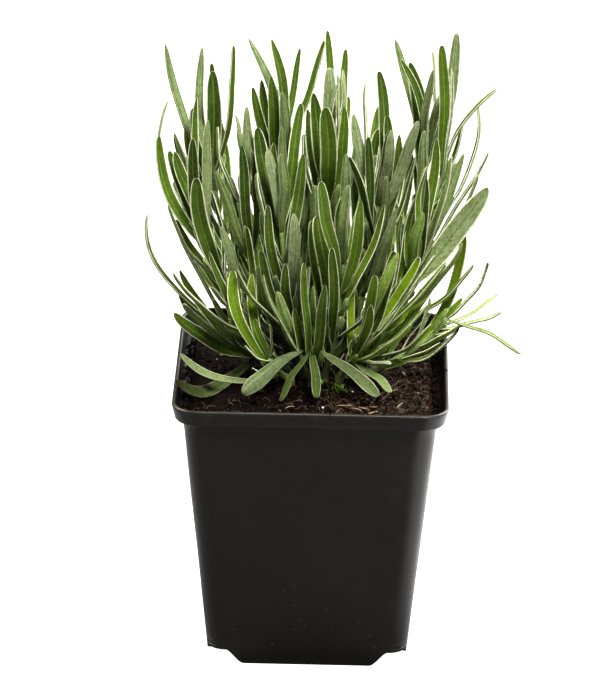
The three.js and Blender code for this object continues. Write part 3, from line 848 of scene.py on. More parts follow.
@dataclass(frozen=True)
class Studio:
    """Pale floor with a rounded cove, soft lights and the photograph's viewpoint."""

    floor_radius: float = 3.2
    cove_radius: float = 1.0
    wall_height: float = 3.0
    around: int = 96
    ambient: float = 0.205
    elevation: float = 22.669
    turn: float = 0.838
    roll: float = 0.873
    distance: float = 1.5
    aim: Point = (-0.004137, 0.0, 0.099555)
    focal_px: float = 4533.0
    long_side_px: float = 700.0
    sensor_mm: float = 36.0
    lights: tuple[Softbox, ...] = (
        Softbox("light_right_rear", (0.95, 0.75, 1.25), (0.0, 0.0, 0.12), 0.8, 61.0),
        Softbox("light_left_rear", (-1.0, 0.4, 1.2), (0.0, 0.0, 0.12), 0.7, 49.0),
        Softbox("light_front_top", (0.35, -0.85, 1.6), (0.0, 0.0, 0.12), 0.6, 54.0),
        Softbox("light_right_low", (1.05, 0.8, 0.3), (0.0, 0.0, 0.07), 0.5, 8.0),
    )

    def build(self, effects: Effects) -> None:
        """Makes the stage, the lights and the camera round the pot's axis.

        Args:
            effects: The shared effects.
        """
        self.make_sweep(FloorFinish().make(effects))
        for light in self.lights:
            light.build()
        self.light_world()
        self.place_camera()
        view = bpy.context.scene.view_settings
        view.view_transform = "Standard"
        view.look = "Medium High Contrast"
        bpy.context.scene.cycles.use_denoising = True

    def make_sweep(self, paint: Material) -> None:
        """Floor disc that curves up into a round wall.

        Args:
            paint: The floor's material.
        """
        flat, cove = self.floor_radius, self.cove_radius
        quarter = [math.radians(angle) for angle in range(0, 91, 9)]
        profile = [(flat + cove * math.sin(angle), cove * (1 - math.cos(angle))) for angle in quarter]
        profile.append((flat + cove, self.wall_height))
        turns = [FULL_TURN * i / self.around for i in range(self.around)]
        points = [(0.0, 0.0, 0.0)]
        points += [(far * math.cos(turn), far * math.sin(turn), z) for far, z in profile for turn in turns]
        smooth_object("studio_floor", points, disc_faces(len(profile), self.around), [paint])

    def light_world(self) -> None:
        """Even white light from all round."""
        world = bpy.data.worlds.new("studio_light")
        world.use_nodes = True
        background = world.node_tree.nodes["Background"]
        background.inputs["Color"].default_value = colour(1.0, 1.0, 1.0)
        background.inputs["Strength"].default_value = self.ambient
        bpy.context.scene.world = world

    def place_camera(self) -> None:
        """Camera where the photograph was taken from, with its lens and roll."""
        rise, turn, roll = (math.radians(angle) for angle in (self.elevation, self.turn, self.roll))
        back = np.array([math.sin(turn) * math.cos(rise), -math.cos(turn) * math.cos(rise), math.sin(rise)])
        level = np.array([math.cos(turn), math.sin(turn), 0.0])
        upward = np.cross(back, level)
        right = level * math.cos(roll) + upward * math.sin(roll)
        up = upward * math.cos(roll) - level * math.sin(roll)
        place = np.array(self.aim) + back * self.distance + AXIS
        data = bpy.data.cameras.new("photo_camera")
        data.sensor_width = self.sensor_mm
        data.lens = self.focal_px * self.sensor_mm / self.long_side_px
        data.clip_start, data.clip_end = 0.05, 20.0
        camera = link("photo_camera", data)
        turned = Matrix((right, up, back)).transposed().to_4x4()
        camera.matrix_world = Matrix.Translation(Vector(place)) @ turned
        bpy.context.scene.camera = camera


@dataclass(frozen=True)
class Pot:
    """Square nursery pot of 9 cm, sizes in millimetres. Half widths are from its axis to a side."""

    height: float = 95.9
    foot_half: float = 33.3
    neck_half: float = 41.4
    rim_half: float = 45.0
    rim_height: float = 5.9
    rim_wall: float = 1.4
    wall: float = 1.1
    corner_radius: float = 8.0
    floor_underside: float = 5.0
    floor_thickness: float = 1.2
    floor_edge: float = 0.15
    skirt_half: float = 21.5
    skirt_shoulder: float = 27.0
    drain_radius: float = 3.5
    drain_spacing: float = 19.0
    drain_steps: int = 36
    side_steps: int = 56
    corner_steps: int = 14
    wall_rows: int = 18
    warp: float = 0.16
    warp_size: float = 26.0
    sharp: float = 50.0

    @property
    def rim_bottom(self) -> float:
        """Height of the rim's lower edge."""
        return self.height - self.rim_height

    @property
    def floor_top(self) -> float:
        """Height of the floor inside."""
        return self.floor_underside + self.floor_thickness

    def wall_half(self, z: float) -> float:
        """Half width over the outside of the wall at a height."""
        return self.foot_half + (self.neck_half - self.foot_half) * z / self.rim_bottom

    def inside_half(self, z: float) -> float:
        """Half width of the space inside at a height below the rim."""
        return self.wall_half(z) - self.wall

    def outline(self, half: float, radius: float) -> Array:
        """Corner-rounded square, anticlockwise from above, with as many points at every size.

        Args:
            half: Half width.
            radius: Corner radius.

        Returns:
            Its points in plan, one a row.
        """
        straight = half - radius
        quarter = [(half, -straight + 2 * straight * i / self.side_steps) for i in range(self.side_steps)]
        for i in range(self.corner_steps):
            angle = math.pi / 2 * i / self.corner_steps
            quarter.append((straight + radius * math.cos(angle), straight + radius * math.sin(angle)))
        return np.vstack([np.array(quarter) @ spin(corner * math.pi / 2)[:2, :2].T for corner in range(4)])

    def bottom_edge(self, outline: Array) -> Array:
        """Height of the wall's lower edge: a foot under each side, with sloping ends, and raised corners."""
        off_middle = np.abs(outline).min(axis=1)
        return self.floor_underside * smooth(self.skirt_half - 0.6, self.skirt_shoulder + 0.4, off_middle)

    def ring(self, half: float, radius: float, z: Array | float) -> Array:
        """One ring of the pot's surface at a height, or at one height a point."""
        plan = self.outline(half, radius)
        return np.column_stack([plan, np.broadcast_to(z, len(plan))])

    def shell_rings(self) -> list[tuple[Array, float]]:
        """Rings over the outside, the rim and down the inside, each with the dust and painted highlight at
        its edges.

        Returns:
            The points of each ring, with its edge dust and painted highlight.
        """
        radius, neck, rim = self.corner_radius, self.wall_half(self.rim_bottom), self.rim_half
        low = self.bottom_edge(self.outline(self.foot_half, radius - 1))
        rings = [(self.ring(self.wall_half(0) - 0.35, radius - 1.2, low), 0.3)]
        for row in range(self.wall_rows + 1):
            share = row / self.wall_rows
            z = low + 0.3 + (self.rim_bottom - 0.9 - low) * share
            rings.append((self.ring(self.wall_half(self.rim_bottom * share), radius - 1 + share, z), 0.0))
        top, base, within = self.height, self.rim_bottom, rim - self.rim_wall
        # Each row is half width, corner radius, height, and edge dust with painted highlight, greatest along
        # the rim's top edge.
        profile = [
            (neck + 0.12, radius, base - 0.35, 0.0), (neck + 0.5, radius + 0.1, base - 0.08, 0.0),
            (rim - 1.9, radius + 0.4, base, 0.0), (rim - 1.25, radius + 0.5, base + 0.18, 0.0),
            (rim - 0.98, radius + 0.5, base + 0.6, 0.25), (rim - 0.9, radius + 0.5, base + 1.1, 0.1),
            (rim - 0.55, radius + 0.5, base + 2.8, 0.0), (rim - 0.14, radius + 0.5, top - 1.3, 0.0),
            (rim - 0.02, radius + 0.5, top - 0.62, 0.15), (rim - 0.12, radius + 0.4, top - 0.24, 0.7),
            (rim - 0.4, radius + 0.3, top, 1.0), (within + 0.4, radius - 0.6, top, 1.0),
            (within + 0.1, radius - 0.8, top - 0.25, 0.6), (within, radius - 1, top - 0.8, 0.1),
            (within - 0.8, radius - 1, base + 1.3, 0.0), (within - 1.2, radius - 1, base + 0.75, 0.2),
            (neck - self.wall + 0.35, radius - 1, base + 0.3, 0.3),
            (neck - self.wall, radius - 1, base - 0.3, 0.0),
        ]
        rings += [(self.ring(half, corner, z), edge_dust_and_highlight) for half, corner, z, edge_dust_and_highlight in profile]
        for row in range(1, self.wall_rows + 1):
            z = base - 0.3 - (base - 0.3 - self.floor_top) * row / self.wall_rows
            rings.append((self.ring(self.inside_half(z), radius - 1 - row / self.wall_rows, z), 0.0))
        within = self.wall_half(0) - self.rim_wall
        rings.append((self.ring(within + 0.45, radius - 2, self.floor_underside + 0.1), 0.0))
        rings.append((self.ring(within, radius - 2, np.minimum(low + 0.35, self.floor_underside)), 0.0))
        rings.append((self.ring(within + 0.35, radius - 1.8, low), 0.3))
        return rings

    def build(self, material: Material) -> None:
        """Makes the pot: one shell for wall, feet and rim, with the drained floor across it.

        Args:
            material: The piece's material.
        """
        rings = self.shell_rings()
        around = len(rings[0][0])
        points = np.concatenate([ring for ring, _ in rings])
        edge_dust_and_highlight = np.repeat([amount for _, amount in rings], around)
        warp = [self.warp * bump(x, y, z, self.warp_size) * min(1.0, z / 40) for x, y, z in points]
        points[:, :2] *= 1 + np.array(warp)[:, None] / self.rim_half
        skin = Skin()
        faces = ring_faces(len(rings), around, closed=True)
        skin.add(points, faces, height=points[:, 2] / self.height, edge=edge_dust_and_highlight)
        self.add_floor(skin)
        pot = skin.to_piece("nursery_pot", [material], "pot")
        pot.data.set_sharp_from_angle(angle=math.radians(self.sharp))

    def add_floor(self, skin: Skin) -> None:
        """Adds the floor plate with its drain holes, let into the wall by a third of its thickness.

        Args:
            skin: The piece's skin, which is added to.
        """
        curve = bpy.data.curves.new("floor_outline", "CURVE")
        curve.dimensions, curve.fill_mode = "2D", "BOTH"
        curve.extrude = self.floor_thickness / 2 - self.floor_edge
        curve.bevel_depth, curve.bevel_resolution = self.floor_edge, 2
        spacing = self.drain_spacing
        holes = [(0, 0)] + [(x, y) for x in (-spacing, spacing) for y in (-spacing, spacing)]
        turns = np.arange(self.drain_steps) / self.drain_steps * FULL_TURN
        hole = self.drain_radius * np.column_stack([np.cos(turns), np.sin(turns)])
        loops = [self.outline(self.inside_half(self.floor_top) + 0.35, self.corner_radius - 2)]
        for loop in loops + [hole + place for place in holes]:
            spline = curve.splines.new("POLY")
            spline.points.add(len(loop) - 1)
            spline.points.foreach_set("co", [value for x, y in loop for value in (x, y, 0.0, 1.0)])
            spline.use_cyclic_u = True
        outline = bpy.data.objects.new("floor_outline", curve)
        plate = bpy.data.meshes.new_from_object(outline)
        points = np.array([tuple(vertex.co) for vertex in plate.vertices])
        points[:, 2] += self.floor_underside + self.floor_thickness / 2
        faces = [tuple(face.vertices) for face in plate.polygons]
        skin.add(points, faces, height=points[:, 2] / self.height, edge=0.0)
        bpy.data.objects.remove(outline)
        bpy.data.curves.remove(curve)
        bpy.data.meshes.remove(plate)


@dataclass(frozen=True)
class Soil:
    """Peat that fills the pot to just under its rim, sizes in millimetres.

    The dent is the hollow under the lowest leaf on the left.
    """

    pot: Pot
    level: float = 88.4
    mound: float = 2.6
    mound_radius: float = 22.0
    relief: float = 0.55
    bank: float = 1.7
    dent: tuple[float, float] = (-33.0, -12.0)
    dent_radius: float = 7.0
    clearance: float = 0.35
    bottom_edge: float = 0.6
    around: int = 420
    rings: int = 96

    def height(self, x: float, y: float) -> float:
        """Height of the solid soil's surface at a place.

        Args:
            x: Place to the right of the pot's axis.
            y: Place behind the pot's axis.

        Returns:
            The height above the ground.
        """
        heap = self.mound * math.exp(-(x * x + y * y) / (2 * self.mound_radius**2))
        waves = math.sin(0.31 * x + 1.7) * math.cos(0.27 * y - 0.6) + 0.6 * math.sin(0.53 * x - 0.47 * y)
        return self.level + heap + self.relief * waves

    @staticmethod
    def fibrous(x: float, y: float) -> float:
        """How fibrous and dry the peat is at a place: more so to the right."""
        return float(smooth(-6.0, 20.0, x + 5.0 * bump(x, y, 3.0, 11.0) - 0.15 * y))

    def off_dent(self, x: float, y: float) -> float:
        """How far a place is from the middle of the dent."""
        return math.dist((x, y), self.dent)

    def broken_height(self, x: float, y: float) -> float:
        """Height of the broken surface of the peat at a place.

        Args:
            x: Place to the right of the pot's axis.
            y: Place behind the pot's axis.

        Returns:
            The height above the ground.
        """
        loose = 0.45 + 0.55 * self.fibrous(x, y)
        clods = 1.3 * bump(x, y, 1.0, 6.0) + 1.1 * bump(x, y, 5.0, 2.6)
        grains = 0.9 * bump(x, y, 9.0, 1.3) + 0.5 * abs(bump(x, y, 14.0, 0.8))
        heaped = self.bank * max(smooth(30.0, 39.0, x), 0.8 * smooth(31.0, 39.0, -y))
        dented = math.exp(-(self.off_dent(x, y) ** 2) / (2 * self.dent_radius**2))
        return self.height(x, y) + (1 - dented) * (loose * (clods + grains) + heaped) - 0.8 * dented

    def outline(self, z: float, smaller: float = 0.0) -> Array:
        """Plan of the peat's side at a height, evenly spaced.

        Args:
            z: The height.
            smaller: How far inside the side the plan runs.

        Returns:
            Its points, one a row.
        """
        half = self.pot.inside_half(z) - self.clearance - smaller
        full = self.pot.outline(half, self.pot.corner_radius - 1.5)
        closed = np.vstack([full, full[:1]])
        walked = np.concatenate([[0.0], np.cumsum(np.linalg.norm(np.diff(closed, axis=0), axis=1))])
        marks = np.arange(self.around) / self.around * walked[-1]
        return np.column_stack([np.interp(marks, walked, closed[:, k]) for k in (0, 1)])

    def build(self, material: Material) -> None:
        """Makes the peat: a broken surface, sides that follow the wall and a flat bottom.

        Args:
            material: The piece's material.
        """
        bottom, edge = self.pot.floor_top + self.clearance, self.bottom_edge
        outline = self.outline(self.level)
        even = np.linspace(0.0, 1.0, self.rings + 1)[1:]
        points = [(0.0, 0.0, self.broken_height(0.0, 0.0))]
        for share in np.sqrt(even) * 0.35 + even * 0.65:
            points += [(x, y, self.broken_height(x, y)) for x, y in outline * share]
        sides = ((self.level - 4.0, 0.0), (bottom + edge, 0.0), (bottom, edge))
        for z, smaller in sides:
            points += [(x, y, z) for x, y in self.outline(z, smaller)]
        faces = disc_faces(self.rings + len(sides), self.around)
        faces.append(tuple(range(len(points) - 1, len(points) - 1 - self.around, -1)))
        skin = Skin()
        skin.add(np.array(points), faces, fibrous=[self.fibrous(x, y) for x, y, _ in points])
        skin.to_piece("peat_soil", [material], "soil")


@dataclass(frozen=True)
class Litter:
    """Loose matter on the peat: crumbs, fibres, straw, twigs, perlite and moss, sizes in millimetres.

    Straws and twigs are rows of x, y, length and direction in degrees. Moss is x, y, spread and count.
    Ledge_sides is how the crumbs of the ledge are shared among the right, front, left and back.
    """

    soil: Soil
    reach: float = 38.5
    dent_clear: float = 9.0
    crumbs: int = 950
    crumb_shapes: int = 9
    crumb_seed: int = 11
    crumbs_to_right: float = 0.35
    ledge_crumbs: int = 680
    ledge_half: float = 41.6
    ledge_reach: float = 37.0
    ledge_sides: tuple[float, ...] = (0.42, 0.32, 0.2, 0.06)
    fibres: int = 2600
    fibre_seed: int = 23
    fibres_to_right: float = 0.86
    perlite_seed: int = 37
    moss_seed: int = 41
    straws: tuple[tuple[float, float, float, float], ...] = (
        (12.5, -24.6, 8, -6), (16.2, -25.6, 9, -14), (19.5, -24.2, 6, 8), (15, -27.4, 5, -20),
        (21, -27, 4.5, 20), (29.5, -19.5, 5.5, 62), (27, -12, 5, 40), (30.5, 4, 6.5, 110),
        (-6.5, -27, 4, 30), (32.5, 22, 7, 160), (21, 8.5, 7, 150), (-29, 16, 5, -20),
    )
    twigs: tuple[tuple[float, float, float, float], ...] = (
        (24.5, -11.5, 27, 64), (26.5, -13, 19, 57), (21.5, -18.5, 13, 70), (26, 12, 11, 140),
    )
    perlite: tuple[tuple[float, float], ...] = (
        (35.1, -11.7), (-3, -30.5), (-24, 2), (13.5, -14), (30, -25), (4, -27.5), (-32, 14), (20, 18),
    )
    moss: tuple[tuple[float, float, float, int], ...] = (
        (11, -2.1, 3.6, 46), (7.5, 4, 3.2, 34), (3.5, -7.5, 2.6, 22), (29, 25, 2.2, 18),
        (9.5, -13.5, 2.8, 44),
    )
    side_crumbs: tuple[tuple[int, float], ...] = ((1, 13.4), (1, -6.0), (-1, -19.0), (-1, 4.0), (-1, -24.0))
    front_crumbs: tuple[float, ...] = (-33.0, -21.0, -8.0, 6.5, 17.0, 29.0)

    def spot(self, rng: Random, to_right: float) -> tuple[float, float]:
        """A random place on the peat, clear of the dent, that favours the fibrous side by a share.

        Args:
            rng: Source of the random draws.
            to_right: How strongly that side is favoured, from 0 to 1.

        Returns:
            The place in plan.
        """
        while True:
            x, y = rng.uniform(-self.reach, self.reach, 2)
            clear = self.soil.off_dent(x, y) > self.dent_clear
            if clear and rng.uniform() < 1 - to_right * (1 - self.soil.fibrous(x, y)):
                return x, y

    def ledge_spot(self, rng: Random) -> tuple[float, float]:
        """A random place on the ledge inside the rim, least often at the back.

        Args:
            rng: Source of the random draws.

        Returns:
            The place in plan.
        """
        while True:
            along = rng.uniform(-self.ledge_reach, self.ledge_reach)
            off = self.ledge_half + rng.uniform(-1.7, 1.2)
            if rng.uniform() < 0.55 + bump(along, off, 2.0, 8.0):
                places = ((off, along), (along, -off), (-off, along), (along, off))
                return places[rng.choice(4, p=self.ledge_sides)]

    def strand(self, rng: Random, place: tuple, length: float, angle: float, lift: float, bend: float,
               steps: int, limp: float = 0.5) -> Array:
        """Centre line of a strand that lies over the peat.

        Args:
            rng: Source of its bends.
            place: Middle of the strand in plan.
            length: Its length.
            angle: Its direction in plan, in degrees.
            lift: How far it rises in its middle.
            bend: How far it strays from straight, in radians.
            steps: Number of points.
            limp: How far it follows the ground, from 0 to 1.

        Returns:
            Its points, one a row.
        """
        turns = math.radians(angle) + bend * np.cumsum(rng.uniform(-1, 1, steps)) / math.sqrt(steps)
        plan = np.cumsum(np.column_stack([np.cos(turns), np.sin(turns)]) * length / steps, axis=0)
        plan += np.array(place) - plan[steps // 2]
        plan = np.clip(plan, -self.reach - 0.7, self.reach + 0.7)
        rise = np.sin(np.linspace(0, math.pi, steps)) * lift
        heights = [self.soil.broken_height(x, y) for x, y in plan]
        level = limp * np.array(heights) + (1 - limp) * (np.mean(heights) + 0.3)
        return np.column_stack([plan, level + rise + 0.12])

    def build_crumbs(self, material: Material) -> None:
        """Crumbs of peat all over, and a few on the rim.

        Args:
            material: The piece's material.
        """
        rng = np.random.default_rng(self.crumb_seed)
        skin = Skin()
        shapes = [pebble(rng, 0.22) for _ in range(self.crumb_shapes)]
        pot = self.soil.pot
        middle = pot.rim_half - pot.rim_wall / 2
        on_rim = [(side * middle, y) for side, y in self.side_crumbs]
        on_rim += [(x, -middle) for x in self.front_crumbs]
        for number in range(len(on_rim) + self.ledge_crumbs + self.crumbs):
            if number < len(on_rim):
                x, y = on_rim[number]
                size, z = rng.uniform(0.25, 0.5), pot.height - 0.05
            elif number < len(on_rim) + self.ledge_crumbs:
                x, y = self.ledge_spot(rng)
                size = 0.35 + 0.65 * rng.uniform() ** 2
                z = pot.rim_bottom + 0.55 + 0.4 * size
            else:
                x, y = self.spot(rng, self.crumbs_to_right)
                size = 0.28 + 0.9 * rng.uniform() ** 3.2
                z = self.soil.broken_height(x, y) + 0.25 * size
            points, faces = shapes[rng.integers(len(shapes))]
            turned = points @ spin(rng.uniform(0, FULL_TURN)).T
            skin.add(turned * (size, size, 0.8 * size) + (x, y, z), faces, fibrous=rng.uniform() ** 1.5)
        skin.to_piece("peat_crumbs", [material])

    def build_fibres(self, material: Material) -> None:
        """Fine fibres, straw and twigs.

        Args:
            material: The piece's material.
        """
        rng = np.random.default_rng(self.fibre_seed)
        skin = Skin()
        for _ in range(self.fibres):
            place = self.spot(rng, self.fibres_to_right)
            length = 0.8 + 3.4 * rng.uniform() ** 2
            line = self.strand(rng, place, length, rng.uniform(0, 360), 0.9 * rng.uniform(), 1.1, 6)
            radius = 0.05 + 0.08 * rng.uniform() ** 2
            skin.add(*tube(line, np.full(6, radius), 4), tone=0.04 + 0.5 * rng.uniform() ** 2)
        for x, y, length, angle in self.straws:
            line = self.strand(rng, (x, y), length, angle, 0.3, 0.12, 8, 0.1)
            width = 0.3 * np.array([0.6, 1, 1, 0.95, 1, 1, 0.9, 0.5])
            skin.add(*tube(line, width, 6, flat=0.4), tone=0.75 + 0.35 * rng.uniform())
        for x, y, length, angle in self.twigs:
            line = self.strand(rng, (x, y), length, angle, 0.6, 0.16, 12, 0.2)
            skin.add(*tube(line, np.linspace(0.22, 0.1, 12), 6), tone=0.16 + 0.2 * rng.uniform())
        skin.to_piece("peat_fibres", [material])

    def build_perlite(self, material: Material) -> None:
        """A few pale grains.

        Args:
            material: The piece's material.
        """
        rng = np.random.default_rng(self.perlite_seed)
        skin = Skin()
        for x, y in self.perlite:
            points, faces = pebble(rng, 0.18)
            placed = points * rng.uniform(0.3, 0.5) + (x, y, self.soil.broken_height(x, y) + 0.2)
            skin.add(placed, faces, tone=0.8 + 0.2 * rng.uniform())
        skin.to_piece("perlite_grains", [material])

    def build_moss(self, material: Material) -> None:
        """Small green tufts of short pointed leaves near the crown.

        Args:
            material: The piece's material.
        """
        rng = np.random.default_rng(self.moss_seed)
        skin = Skin()
        shares = np.linspace(0, 1, 5)[:, None]
        for x, y, spread, count in self.moss:
            for _ in range(count):
                px, py = np.array([x, y]) + rng.normal(0, spread / 2.2, 2)
                foot = np.array([px, py, self.soil.broken_height(px, py) - 0.1])
                lean = np.array([*rng.normal(0, 0.5, 2), 1.0])
                line = foot + shares * unit(lean) * rng.uniform(0.8, 2.1)
                line[:, :2] += shares**2 * rng.normal(0, 0.35, 2)
                widths = rng.uniform(0.2, 0.34) * np.array([0.6, 1.0, 0.95, 0.6, 0.15])
                skin.add(*tube(line, widths, 5, flat=0.5), tone=rng.uniform())
        skin.to_piece("moss_tufts", [material])


@dataclass(frozen=True, kw_only=True)
class Habit:
    """How a leaf has grown.

    Fresh is its share of lime, felted how far its upper face is felted like its lower one, spoon how
    far it narrows towards its base, rim how pale its margins are, dim how far its colour is darkened
    towards the dark of the painted shade and dry how far its tip has withered.
    """

    fresh: float = 0.0
    felted: float = 0.0
    spoon: float = 0.0
    rim: float = 1.0
    dim: float = 0.0
    dry: float = 0.0


@dataclass(frozen=True)
class Leaf(Habit):
    """A prominent leaf: its tip and width in millimetres, where its upper face looks and how it curves.

    Bow is how far it bends out and sag how far it hangs, as shares of its length. Reach is how near its
    tip its base has to be.
    """

    tip: Point
    width: float
    look: Look = Look.FRONT
    bow: float = 0.1
    sag: float = 0.06
    reach: float = 46.0


@dataclass(frozen=True)
class Shoot:
    """A leafy shoot: where its stem leaves the soil, where it ends and its prominent leaves.

    Pairs is how many leaf pairs it has, and rise how high its stem turns up, where the rule doesn't say.
    Young is its share of lime.
    """

    name: str
    foot: tuple[float, float]
    top: Point
    leaves: tuple[Leaf, ...] = ()
    pairs: int | None = None
    rise: float | None = None
    young: float = 0.0


@dataclass(frozen=True)
class Blade:
    """Middle line and width of one leaf or stem, with the direction that its upper face looks in."""

    base: Array
    control: Array
    tip: Array
    width: float
    face: Array
    habit: Habit = Habit()

    @property
    def length(self) -> float:
        """Length of the middle line."""
        return np.linalg.norm(np.diff(self.point(np.linspace(0, 1, 201)), axis=0), axis=1).sum()

    def moved(self, shift: Point) -> "Blade":
        """The blade with its tip moved by a shift and its middle by half of it."""
        by = np.array(shift, float)
        return replace(self, control=self.control + by / 2, tip=self.tip + by)

    def point(self, share: Array) -> Array:
        """Points of the middle line at shares of it, one a row."""
        t = np.asarray(share, float)[:, None]
        return (1 - t) ** 2 * self.base + 2 * t * (1 - t) * self.control + t * t * self.tip

    def tangent(self, share: Array) -> Array:
        """Directions of the middle line at shares of it, one a row."""
        t = np.asarray(share, float)[:, None]
        return unit((1 - t) * (self.control - self.base) + t * (self.tip - self.control))


